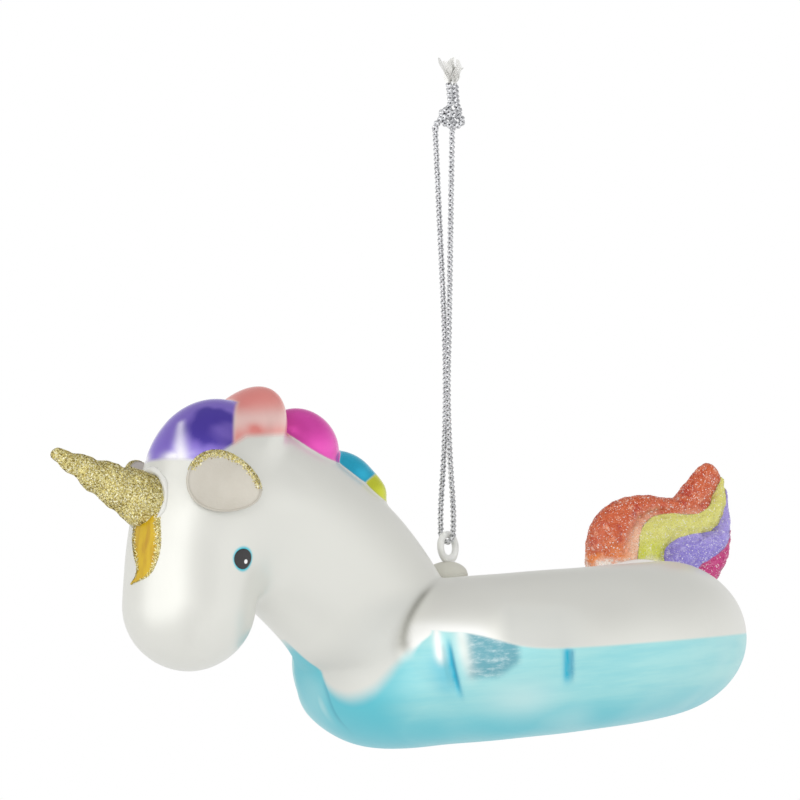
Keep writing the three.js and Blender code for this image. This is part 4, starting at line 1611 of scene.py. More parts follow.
    def floor(self) -> None:
        """Lay a pale floor that keeps the shadow."""
        h, z = self.floor_half, self.floor_height
        corners = np.array([(-h, -h, z), (h, -h, z), (h, h, z), (-h, h, z)])
        floor = linked("floor", plain_mesh("floor", corners, [(0, 1, 2, 3)]))
        s = Sheet("pale_floor")
        cloud = s.noise(s.place(), 3, 2)
        s.dress(Base_Color=s.mixed(cloud, (0.9, 0.9, 0.9, 1), (0.88, 0.88, 0.88, 1)), Roughness=0.9)
        seen = s.add("ShaderNodeLightPath").outputs["Is Camera Ray"]
        glow = s.add("ShaderNodeEmission").outputs[0]
        share = s.math("MULTIPLY", seen, self.floor_glow)
        both = s.add("ShaderNodeMixShader", {0: share, 1: s.shader.outputs[0], 2: glow})
        s.feed(s.output.inputs[0], both.outputs[0])
        floor.data.materials.append(s.material)
        floor.visible_glossy = False


@dataclass
class CordLoop:
    """The metallic cord: loop, knot and frayed ends. Places in millimetres in the frame."""

    radius: float = 0.45
    drop: float = 74.1
    bight: float = 1.38
    eye_turn: float = 17.0
    ease: float = 5.0
    stations: tuple = (
        (0.0, 3.1, -40.0), (18.0, 2.0, -44.0), (36.0, 1.4, -88.0), (48.0, 1.35, -108.0), (59.0, 1.5, -84.0))
    view: float = -36.0
    sway: float = -0.5
    sway_end: float = 36.0
    loop_girth: float = 0.58
    knot_girth: float = 0.68
    knot_path_left: tuple = (
        (-2.05, 0.0, -0.3), (-2.0, 0.05, 0.3), (-1.7, 0.15, 0.9), (-1.1, 0.4, 1.5), (-0.1, 0.65, 2.0),
        (0.9, 0.45, 2.35), (1.9, 0.05, 2.3), (2.75, -0.1, 1.8), (2.85, 0.05, 1.15), (2.3, 0.35, 0.6),
        (1.5, 0.65, 0.4), (0.5, 0.65, 0.5), (-0.3, 0.25, 0.9), (-0.75, -0.4, 1.9), (-0.95, -0.1, 2.75),
        (-0.2, 0.6, 3.2), (1.0, 0.8, 2.95), (2.1, 0.4, 2.75), (2.35, -0.3, 3.2), (2.0, -0.3, 4.0),
        (1.8, 0.0, 5.2), (1.7, 0.0, 6.6), (1.6, 0.0, 8.2))
    knot_path_right: tuple = (
        (1.05, 0.0, -0.3), (1.25, -0.1, 0.3), (1.5, -0.2, 1.0), (1.0, -0.4, 1.6), (0.3, -0.5, 2.2),
        (0.1, -0.5, 3.0), (0.4, -0.2, 3.8), (0.72, 0.0, 4.6), (0.68, 0.0, 5.9), (0.55, 0.0, 7.3),
        (0.45, 0.0, 8.3))

    def line(self) -> Array:
        """Give the loop's centre line, from the knot through the eye and back.

        Returns:
            Its places in millimetres.
        """
        facing_eye = facing(self.eye_turn - 90)

        def strand(side: int) -> Array:
            """Give one strand from the knot down to the eye.

            Args:
                side: -1 or 1.

            Returns:
                Its places in millimetres.
            """
            stops = []
            for low, spread, turn in self.stations:
                lean = facing(self.view) * self.sway * max(0.0, 1 - low / self.sway_end)
                stops.append(facing(turn) * side * spread / 2 - UPRIGHT * low + lean)
            last = facing_eye * side * self.bight
            stops += [last - UPRIGHT * (self.drop - self.ease), last - UPRIGHT * self.drop]
            return spline(stops, 90)

        turn = np.linspace(0, math.pi, 17)[1:-1, None]
        under = -facing_eye * self.bight * np.cos(turn) - UPRIGHT * (self.drop + self.bight * np.sin(turn))
        return np.concatenate([strand(-1), under, strand(1)[::-1]])

    def braided(self, name: str, lines: Sequence[Array], girth: float, finish: Material) -> Piece:
        """Braid yarns round lines.

        Args:
            name: name of the piece.
            lines: centre lines in metres.
            girth: the braid's outer radius, in millimetres.
            finish: the yarn's material.

        Returns:
            The braided piece.
        """
        curve = bpy.data.curves.new(name + "_line", "CURVE")
        curve.dimensions = "3D"
        for points in lines:
            run = curve.splines.new("POLY")
            run.points.add(len(points) - 1)
            run.points.foreach_set("co", np.hstack([points, np.ones((len(points), 1))]).ravel())
        source = bpy.data.objects.new(name + "_line", curve)
        bpy.context.scene.collection.objects.link(source)
        tree = braid_tree(radius=girth * MM, yarn=0.4 * girth * MM, pitch=1.75 * MM, pace=0.1 * MM,
                          finish=finish)
        return tree.made(source, name)

    def knot_lines(self) -> list[Array]:
        """Turn the knot's paths from the viewing plane into the frame, in metres.

        Returns:
            One line for each strand.
        """
        right = facing(self.view)
        near = facing(self.view - 90)
        lines = []
        for path in (self.knot_path_left, self.knot_path_right):
            flat = spline(path, 160)
            lines.append((flat[:, :1] * right + flat[:, 1:2] * near + flat[:, 2:] * UPRIGHT) * MM)
        return lines

    def build(self) -> None:
        """Make the loop, the knot and the frayed ends."""
        yarn = YarnFinish().sheet().material
        line = self.line() * MM
        loop = self.braided("cord_braid", [line], self.loop_girth, yarn)
        knot_lines = self.knot_lines()
        knot = self.braided("knot_braid", knot_lines, self.knot_girth, yarn)
        film = PlainFinish("clear_film", paint(246, 246, 244), paint(218, 217, 212), roughness=0.2,
                           transmission=0.3, cloud=1500.0, grain=5000.0).sheet().material
        turn = circle(8)[:, None]
        rim = 0.4 * MM * (np.cos(turn) * facing(0) + np.sin(turn) * facing(90))
        ends = merged([(points[-1] + rim, [range(len(rim))]) for points in knot_lines])
        patch = linked("fray_patch", plain_mesh("fray_patch", *ends))
        fray = fray_tree(amount=1.6e7, length=4.9 * MM, width=1.5 * MM, splay=0.3, seed=4,
                         finish=film).made(patch, "frayed_film")
        keep(loop, Body.CORD, "metallic_cord", "cord_loop")
        keep(knot, Body.CORD, "metallic_cord", "cord_knot", "cord_end_left", "cord_end_right")
        keep(fray, Body.CORD, "metallic_cord")


@dataclass
class GlassBody:
    """The blown, silvered and lacquered figure."""

    form: GlassForm = field(default_factory=GlassForm)
    voxel: float = 0.52
    eye_spot: tuple[float, float, float] = (-66.05, -11.0, 19.85)
    waterline: tuple = (
        (28, 5.3), (32, 5.1), (41.8, 4.1), (49.6, 2.2), (53.6, 1.2), (60, 0.6), (72, 0.35), (102, 0.2),
        (180, -0.2))
    chest: tuple = (
        (-17, 1.5), (-14.6, -1.7), (-11.6, -4.3), (-8.5, -5.4), (-5.5, -5.7), (-2.4, -4.8), (0.2, -2.6),
        (0.6, 2.0), (0.9, 4.6))
    wedge: tuple = ((-1, 0.15), (0.2, 0.5), (1.4, 0.9), (2.3, 1.5), (3.5, 2.4), (4.7, 4.1))
    crown_edge: tuple = ((-75, 37.8), (-72, 37.2), (-68.2, 38.2), (-65.9, 39.4), (-63, 40.7))
    # centre and lighter middle of the purple lobe's painted dark reflection
    violet_reflection_spot: tuple[float, float, float] = (-67.6, -7.2, 42.8)
    violet_reflection_middle: tuple[float, float, float] = (-66.4, -8.6, 41.4)
    blush_gap: tuple[float, float, float] = (-60.6, -9.3, 41.6)
    # the line of the purple lobe's painted highlight
    gleam_line: tuple = ((-71.1, -2.75, 43.6), (-73.3, -5.5, 37.8))

    def eye_places(self) -> list[Array]:
        """Give both eyes' middles on the skin, in figure millimetres."""
        spots = np.array([self.eye_spot, np.array(self.eye_spot) * (1, -1, 1)])
        return list(settled(self.form.field, spots, rounds=8))

    def build(self) -> None:
        """Make the skin, store its painted fields and lay the lacquer."""
        form = self.form
        shells = [form.ring.shell(), form.neck.shell(), form.head.shell()]
        shells += [lobe.shell() for lobe in form.lobes]
        skin = one_skin(shells, form.field, self.voxel, "glass_skin")
        self.mark(skin)
        hang(skin)
        eyes = [HANGING.place(spot[None])[0] for spot in self.eye_places()]
        skin.materials.clear()
        skin.materials.append(LacquerFinish().sheet(eyes).material)
        keep(linked("glass_skin", skin), Body.ORNAMENT, "lacquered_glass", "glass_body")

    def mark(self, skin: Mesh) -> None:
        """Store the fields that bound the colours, in millimetres.

        Args:
            skin: the figure's skin.
        """
        form = self.form
        points = corners_of(skin)
        side, rise = np.abs(points[:, 1]), points[:, 2]
        around = np.degrees(np.arctan2(side, -points[:, 0]))
        note(skin, "ring_turn", around * math.radians(1) * form.ring.outer)
        note(skin, "ring_rise", rise)
        level = read_off(self.waterline, around, 2.5)
        note(skin, "water", rise - level + 30 * eased(points[:, 0], -51, -56))
        ring, torso = form.ring.field(points), form.torso(points)
        note(skin, "neck_side", ring - torso + read_off(self.wedge, rise, 0.6))
        note(skin, "neck_fade", rise - read_off(self.chest, points[:, 1], 1.0))
        # painted shade on the chest beside the neck crease, and a band of painted shade on the ring's sides
        # just above the waterline
        painted_shade = eased(ring - torso, 8, 2) * eased(ring - torso, -0.3, 0.6)
        painted_shade *= eased(rise, -7, 3) * eased(rise, 14, 9)
        ring_band_shade = eased(around, 46, 51) * eased(around, 72, 62) * eased(rise - level, 9, 5)
        note(skin, "painted_shade", 0.85 * np.maximum(painted_shade, ring_band_shade * eased(rise - level, -0.5, 0.5)))
        # painted highlight: near-white pearl just above the waterline on the ring's front, kept off the neck
        lip = bell(rise - level, 0.4, 1.3) * eased(around, 49, 42)
        lip = np.maximum(lip, eased(around, 40, 34) * eased(rise, -1, 1) * eased(rise, level + 2, level))
        note(skin, "lip", 0.65 * lip * eased(ring - torso, -0.2, -0.9))
        # painted shade: a grey line along the upper part of the crease between ring and neck
        fold = bell(ring - torso, -0.4, 0.75) * eased(rise, 0.5, 3.5) * eased(rise, 14, 11)
        note(skin, "crease", 0.75 * fold)
        self.mark_puckers(skin, points, around)
        self.mark_mane(skin, points, np.minimum(ring, torso))

    def mark_mane(self, skin: Mesh, points: Array, body: Array) -> None:
        """Store where each lobe of the mane is painted, and the painted dark reflection, highlight and pale
        band on its lobes.

        Args:
            skin: the figure's skin.
            points: its vertices in figure millimetres.
            body: their distance from ring, neck and head.
        """
        x, y, z = points.T
        lobes = self.form.mane(points)
        cap = z - np.interp(x, *np.transpose(self.crown_edge))
        split = x + 56.7 + 0.86 * np.where(y < 0, np.maximum(-y, 3.5), 3.5 + 0.9 * y)
        note(skin, "mane_0", np.minimum(cap, -split))
        note(skin, "mane_1", np.minimum(cap, split))
        for k in range(2, len(lobes)):
            rest = np.vstack([body[None], np.delete(lobes, k, 0)]).min(0)
            note(skin, f"mane_{k}", rest - lobes[k])
        # painted dark reflection on the purple lobe, lighter in its middle
        near = np.stack([x, -np.abs(y), z], 1)
        far = np.linalg.norm(near - self.violet_reflection_spot, axis=1)
        inner = np.linalg.norm(near - self.violet_reflection_middle, axis=1) + 0.5 * ripple(points, 2.5, 8)
        dark = eased(far + 0.5 * ripple(points, 3.0, 9), 5.4, 3.6)
        note(skin, "violet_dark_reflection", dark * (1 - 0.7 * eased(inner, 3.2, 0.6)))
        # painted highlight: a white streak down the purple lobe and a band along its lower edge
        top, low = (np.array(v) for v in self.gleam_line)
        share = np.clip((near - top) @ (low - top) / ((low - top) @ (low - top)), 0, 1)
        off = np.linalg.norm(near - top - share[:, None] * (low - top), axis=1)
        streak = bell(off, 0, 0.75 + 0.8 * share) * (0.6 + 0.4 * share)
        band = bell(z, 38.1, 0.9) * bell(near[:, 1], -4.4, 2.4)
        note(skin, "painted_highlight", np.clip(np.maximum(streak, band), 0, 1))
        # paler band on the peach lobe's near side, partly pearl showing through and partly a painted
        # highlight, with a darker gap
        pale = bell(z, 43.4, 2.2) * eased(near[:, 1], -3.5, -6.5)
        spot = bell(np.linalg.norm(near - self.blush_gap, axis=1), 0, 1.3)
        note(skin, "blush", np.clip(0.7 * pale - 0.6 * spot, 0, 1))

    def mark_puckers(self, skin: Mesh, points: Array, around: Array) -> None:
        """Store the painted shade and highlights by the puckers, a darker mould line, and the thin dark patch
        whose darkness is a painted reflection.

        Args:
            skin: the figure's skin.
            points: its vertices in figure millimetres.
            around: their angle from the front, in degrees.
        """
        first, second = self.form.puckers[:2]
        rise = points[:, 2]
        wall = eased(np.hypot(points[:, 0], points[:, 1]), 24, 30)
        front, rear = self.form.beside(first, points), self.form.beside(second, points)
        span = eased(rise, -8.0, -3.0) * eased(rise, 4.6, 1.0)
        # painted shade: deeper turquoise along the first pucker's groove and beside it, and in the second
        # pucker's dent
        line = bell(front, 0.5, 0.55) * span
        spread = 0.45 * bell(front, -1.4, 2.6) * eased(front, 1.0, 0.4) * span
        spread *= eased(rise, 2.5, -0.5)
        dent = bell(rear, -0.1, 0.75) * eased(rise, -6.4, -3.8) * eased(rise, 1.2, -0.2)
        note(skin, "pucker_shade", wall * np.clip(line + spread + dent, 0, 1))
        # painted highlight: white pearl strips on both sides of the first pucker
        strip = bell(front, -1.5, 0.8) * eased(rise, -1.8, 1.2)
        gap = 0.8 * bell(front, 3.0, 1.3) * eased(rise, -6.0, 1.5)
        note(skin, "strip", wall * np.clip(strip + gap, 0, 1))
        # painted sheen: a pale reflection on the ring below its waist about 52 degrees from the front, and a
        # pale highlight spot beside the front mould line
        painted_sheen = 0.75 * bell(around, 52, 9) * bell(rise, -7.5, 3.2)
        ahead = points[:, 0] < 0
        painted_sheen += 0.55 * bell(points[:, 1], 3.0, 1.3) * bell(rise, -6.6, 2.6) * ahead
        note(skin, "painted_sheen", wall * painted_sheen)
        # a darker line down the front mould line, and painted shade on the dark side of the second pucker and
        # in the first pucker's core
        seam_and_fold_shade = bell(points[:, 1], -0.05, 0.26) * eased(rise, -1.0, -3.5) * eased(rise, -12.5, -8.5)
        edge = bell(rear, 0.7, 0.35) * eased(rise, -6.0, -3.4) * eased(rise, 0.8, -0.4)
        core = 0.6 * bell(front, 0.75, 0.3) * span * eased(rise, 3.0, -1.0)
        note(skin, "seam_and_fold_shade", wall * (0.7 * seam_and_fold_shade * ahead + 0.7 * edge + core))
        # a patch of thin, scratched lacquer between the first two puckers, painted dark as a reflection
        low = -3.4 + 2.2 * eased(around, 46, 53)
        dark_reflection_patch = eased(around, 38.3, 41.0) * eased(around, 53.4, 50.8) * eased(rise, low - 0.9, low + 0.9)
        note(skin, "dark_reflection_patch", wall * dark_reflection_patch)


@dataclass
class PaintedFace:
    """The raised paint on the head: two eyes and the forelock with its glitter edge."""

    glass: GlassBody
    eye_radius: float = 1.68
    eye_height: float = 0.12
    eye_stretch: tuple[float, float] = (1.14, 1.05)
    dot_offset: tuple[float, float] = (0.55, -0.46)
    lock_right: tuple = (
        (-5.6, 29.0), (-6.0, 27.3), (-6.4, 24.7), (-6.1, 22.3), (-5.2, 20.0), (-3.4, 18.0), (0.6, 16.8))
    lock_left: tuple = (
        (1.8, 28.0), (1.8, 26.2), (1.5, 24.1), (0.3, 21.5), (-0.6, 19.5), (-0.3, 18.0), (0.8, 16.8))
    lock_height: float = 0.3

    def build(self, flakes: Material) -> None:
        """Make the eyes and the forelock.

        Args:
            flakes: the gold glitter's material.
        """
        self.eyes()
        self.forelock(flakes)

    def eyes(self) -> None:
        """Lay a domed disc of paint on each side of the head."""
        form = self.glass.form.field
        discs, dots = [], []
        rows, sides = 9, 40
        share = np.concatenate([[1.03], np.linspace(1, 0.06, rows)])[:, None]
        turn = circle(sides)
        height = self.eye_height * np.sqrt(np.clip(1 - share**4, 0, 1))
        height[0] = -0.08
        for spot in self.glass.eye_places():
            normal = unit(slope_of(form, spot[None]))[0]
            level = unit(np.cross(UPRIGHT, normal))
            rise = np.cross(normal, level)
            reach = self.eye_radius * share
            disc = (spot + (reach * np.cos(turn))[..., None] * level * self.eye_stretch[0]
                    + (reach * np.sin(turn))[..., None] * rise * self.eye_stretch[1])
            lifts = np.broadcast_to(height, (rows + 1, sides)).ravel()
            lifted = settled(form, disc.reshape(-1, 3), lifts)
            discs.append(loft(lifted.reshape(rows + 1, sides, 3)))
            outward = level * (1 if normal[1] < 0 else -1)
            mark = spot + outward * self.dot_offset[0] + rise * self.dot_offset[1]
            dots.append(HANGING.place(settled(form, mark[None], self.eye_height, 6))[0])
        finish = EyeFinish().sheet(dots).material
        piece = dressed("eye_paint", *merged(discs), finish)
        keep(piece, Body.ORNAMENT, "lacquered_glass")

    def forelock(self, flakes: Material) -> None:
        """Lay the amber lock on the brow and strew glitter along its edge.

        Args:
            flakes: the gold glitter's material.
        """
        form = self.glass.form.field
        rows, columns = 46, 15
        left, right = spline(self.lock_left, rows), spline(self.lock_right, rows)
        share = np.linspace(0, 1, columns)[None, :, None]
        flat = left[:, None] * (1 - share) + right[:, None] * share
        grid = np.stack([np.full(flat.shape[:2], -80.0), flat[..., 0], flat[..., 1]], 2).reshape(-1, 3)
        across = np.abs(np.linspace(-1, 1, columns))
        height = np.broadcast_to(self.lock_height * (1 - across**6) - 0.06, (rows, columns)).copy()
        height[-1] = -0.06
        top = settled(form, grid, height.ravel(), 10)
        base = settled(form, grid, -0.25, 10)
        faces = []
        count = rows * columns
        for row in range(rows - 1):
            for k in range(columns - 1):
                a = row * columns + k
                faces.append((a, a + columns, a + columns + 1, a + 1))
                faces.append(tuple(v + count for v in (a + 1, a + columns + 1, a + columns, a)))
        border = [*range(columns), *range(2 * columns - 1, count, columns),
                  *range(count - 2, count - columns - 1, -1), *range(count - 2 * columns, 0, -columns)]
        for here, there in zip(border, border[1:] + border[:1]):
            faces.append((there, here, here + count, there + count)[::-1])
        lock = dressed("forelock_paint", np.concatenate([top, base]), faces, ForelockFinish().sheet().material)
        edge = np.concatenate([np.broadcast_to(eased(across, 0.62, 0.82), (rows, columns)).ravel(),
                               np.zeros(count)])
        tree = flake_tree(density=7.0e7, size=0.12 * MM, tilt=0.5, lift=0.05 * MM, seed=21, finish=flakes)
        specks = glittered(lock, edge, tree, "forelock_glitter")
        keep(lock, Body.ORNAMENT, "gold_glitter")
        keep(specks, Body.ORNAMENT, "gold_glitter")


@dataclass
class Horn:
    """The glittered glass cone and its glue."""

    glass: GlassBody
    seat_share: float = 0.42
    tilt: float = 27.1
    length: float = 19.3
    base: float = 4.7
    tip: float = 1.15
    root: float = 3.4
    pitch: float = 5.0
    groove: float = 0.28
    glue_gap: float = 0.45

    def seat(self) -> tuple[Array, Array]:
        """Give the horn's foot and its direction.

        Returns:
            The foot and a direction of length one.
        """
        lean = math.radians(self.tilt)
        aim = np.array([-math.cos(lean), 0.0, math.sin(lean)])
        head = self.glass.form.head
        k = self.seat_share * (len(head.line) - 1)
        low = int(k)
        foot = head.line[low] * (1 - k + low) + head.line[low + 1] * (k - low)
        thick = head.thick[low] * (1 - k + low) + head.thick[low + 1] * (k - low)
        return foot + aim * thick, aim

    def build(self, flakes: Material, glue: Material) -> None:
        """Make the cone, its glitter and the glue round its foot.

        Args:
            flakes: the gold glitter's material.
            glue: the clear glue's material.
        """
        foot, aim = self.seat()
        side = LATERAL
        other = np.cross(aim, side)
        sides = 72
        rise = np.linspace(-self.root, self.length - self.tip, 90)
        wide = np.where(rise < 0, self.base + 0.25 * np.abs(rise) / self.root,
                        self.base + (self.tip - self.base) * rise / (self.length - self.tip))
        cap = np.linspace(0, math.pi / 2, 14)[1:-1]
        rise = np.concatenate([rise, self.length - self.tip + self.tip * np.sin(cap)])
        wide = np.concatenate([wide, self.tip * np.cos(cap)])
        turn = circle(sides)
        wave = np.cos(turn[None] - rise[:, None] / self.pitch * FULL_TURN)
        groove = self.groove * np.clip(wave, -1, 0.3) * eased(wide, 0.4, 2.0)[:, None]
        reach = wide[:, None] + groove
        rings = (foot + rise[:, None, None] * aim + (reach * np.cos(turn))[..., None] * side
                 + (reach * np.sin(turn))[..., None] * other)
        points, faces = loft(rings)
        away = unit(points - foot - np.outer((points - foot) @ aim, aim))
        points = points + 0.1 * ripple(points, 2.6, 9)[:, None] * away
        base = PlainFinish("gold_base", paint(226, 212, 132), paint(200, 182, 100), roughness=0.4,
                           metallic=0.3, cloud=900.0, grain=3500.0, depth=0.0001).sheet().material
        cone = dressed("horn_cone", points, faces, base)
        tree = flake_tree(density=4.4e7, size=0.15 * MM, tilt=0.5, lift=0.05 * MM, seed=3, finish=flakes)
        specks = glittered(cone, np.ones(len(points)), tree, "horn_glitter")
        keep(cone, Body.ORNAMENT, "gold_glitter", "horn")
        keep(specks, Body.ORNAMENT, "gold_glitter")
        self.collar(foot, aim, side, other, glue)

    def collar(self, foot: Array, aim: Array, side: Array, other: Array, glue: Material) -> None:
        """Squeeze a bead of glue out round the horn's foot.

        Args:
            foot, aim, side, other: the horn's foot, direction and cross directions.
            glue: the glue's material.
        """
        form = self.glass.form.field
        count = 96
        turn = circle(count)[:, None]
        reach = self.base + self.glue_gap
        path = foot + reach * (np.cos(turn) * side + np.sin(turn) * other)
        for _ in range(8):
            path = path - form(path)[:, None] * aim * 0.9
        share = (path[:, 2] - path[:, 2].min()) / np.ptp(path[:, 2])
        radii = np.clip(0.55 + 0.3 * ripple(path, 5.0, 12), 0.35, 1.1) * (0.3 + 0.7 * eased(share, 0.1, 0.45))
        points, faces = tube(path, radii, 12, closed=True)
        keep(dressed("horn_glue_bead", points, faces, glue), Body.ORNAMENT, "clear_glue", "horn_glue")


@dataclass
class Ear:
    """A cupped cream petal with a glitter rim, and its glue."""

    glass: GlassBody
    side: Side
    turn: float = 60.4
    tilt: float = -0.9
    roll: float = 23.0
    length: float = 12.8
    width: float = 9.8
    cup: float = 1.35
    wall: float = 0.9
    taper: float = 0.2
    standoff: float = 1.3
    glue_radius: float = 2.7
    glue_ends: tuple[float, float] = (-2.4, 0.35)

    def axes(self) -> tuple[Array, Array]:
        """Give the ear's place and its three directions: along, across and outward.

        Returns:
            The place, and one row for each direction.
        """
        turn, tilt, roll = (math.radians(v) for v in (self.turn, self.tilt, self.roll))
        way = self.side.value
        outward = np.array([-math.cos(turn) * math.cos(tilt), way * math.sin(turn) * math.cos(tilt),
                            math.sin(tilt)])
        level = unit(np.cross(UPRIGHT, outward) * -way)
        rise = np.cross(outward, level) * -way
        along = level * math.cos(roll) - rise * math.sin(roll)
        across = np.cross(outward, along)
        form = self.glass.form
        return form.crown + outward * (form.head.wide[0] + self.standoff), np.stack([along, across, outward])

    def build(self, flakes: Material, pearl: Material, glue: Material) -> None:
        """Make the petal, its rim of glitter and the glue behind it.

        Args:
            flakes, pearl, glue: the three materials.
        """
        name = "ear_left" if self.side is Side.LEFT else "ear_right"
        place, axes = self.axes()
        sides, rows = 72, 16
        turn = circle(sides)
        back = np.linspace(0.03, 0.97, rows)
        lip = np.linspace(-math.pi / 2, math.pi / 2, 8)
        reach = np.concatenate([back, 0.97 + 0.05 * np.cos(lip), back[::-1]])
        sink = self.cup * back**2.2
        lift = np.concatenate([sink, sink[-1] + self.wall / 2 * (1 + np.sin(lip)), (sink + self.wall)[::-1]])
        along = reach[:, None] * np.cos(turn)
        across = reach[:, None] * np.sin(turn) * (1 - self.taper * along)
        flat = np.stack([along * self.length / 2, across * self.width / 2, lift[:, None] * np.ones(sides)], 2)
        flat[..., 2] += 0.12 * ripple(flat.reshape(-1, 3), 7, 31).reshape(flat.shape[:2])
        points, faces = loft(flat @ axes + place)
        if self.side is Side.LEFT:
            faces = [face[::-1] for face in faces]
        petal = dressed(name + "_petal", points, faces, pearl)
        self.outward_faces(petal.data)
        upper = (flat @ axes)[..., 2].reshape(-1) / self.width
        rear = (flat @ axes)[..., 0].reshape(-1) / self.length
        ring = np.repeat(reach, sides)
        front = np.repeat(np.arange(len(reach)) >= rows + 2, sides)
        cover = eased(ring, 0.8, 0.92) * eased(upper + 0.55 * rear, -0.02, 0.16) * front
        tree = flake_tree(density=7.0e7, size=0.12 * MM, tilt=0.5, lift=0.06 * MM,
                          seed=40 + self.side.value, finish=flakes)
        specks = glittered(petal, np.concatenate([cover, [0, 0]]), tree, name + "_glitter")
        keep(petal, Body.ORNAMENT, "cream_pearl", name)
        keep(specks, Body.ORNAMENT, "gold_glitter")
        self.pad(name, place, axes, glue)

    @staticmethod
    def outward_faces(mesh: Mesh) -> None:
        """Turn a closed mesh's faces outwards if its volume says that they point in.

        Args:
            mesh: what is turned.
        """
        points = corners_of(mesh)
        mesh.calc_loop_triangles()
        corners = np.array([t.vertices[:] for t in mesh.loop_triangles])
        a, b, c = (points[corners[:, k]] for k in range(3))
        if (a * np.cross(b, c)).sum() < 0:
            mesh.flip_normals()

    def pad(self, name: str, place: Array, axes: Array, glue: Material) -> None:
        """Press a pad of glue between the ear and the head.

        Args:
            name: the ear's name.
            place, axes: the ear's place and directions.
            glue: the glue's material.
        """
        sides, rows = 28, 10
        turn = circle(sides)
        rise = np.linspace(*self.glue_ends, rows)
        reach = self.glue_radius * (1 - 0.25 * np.sin(np.linspace(0, math.pi, rows)))
        flat = np.stack([reach[:, None] * np.cos(turn), reach[:, None] * np.sin(turn),
                         rise[:, None] * np.ones(sides)], 2)
        flat[..., :2] *= 1 + 0.08 * ripple(flat.reshape(-1, 3), 4, 8).reshape(rows, sides, 1)
        points, faces = loft(flat @ axes + place)
        piece = dressed(name + "_glue_pad", points, faces, glue)
        self.outward_faces(piece.data)
        keep(piece, Body.ORNAMENT, "clear_glue", name + "_glue")


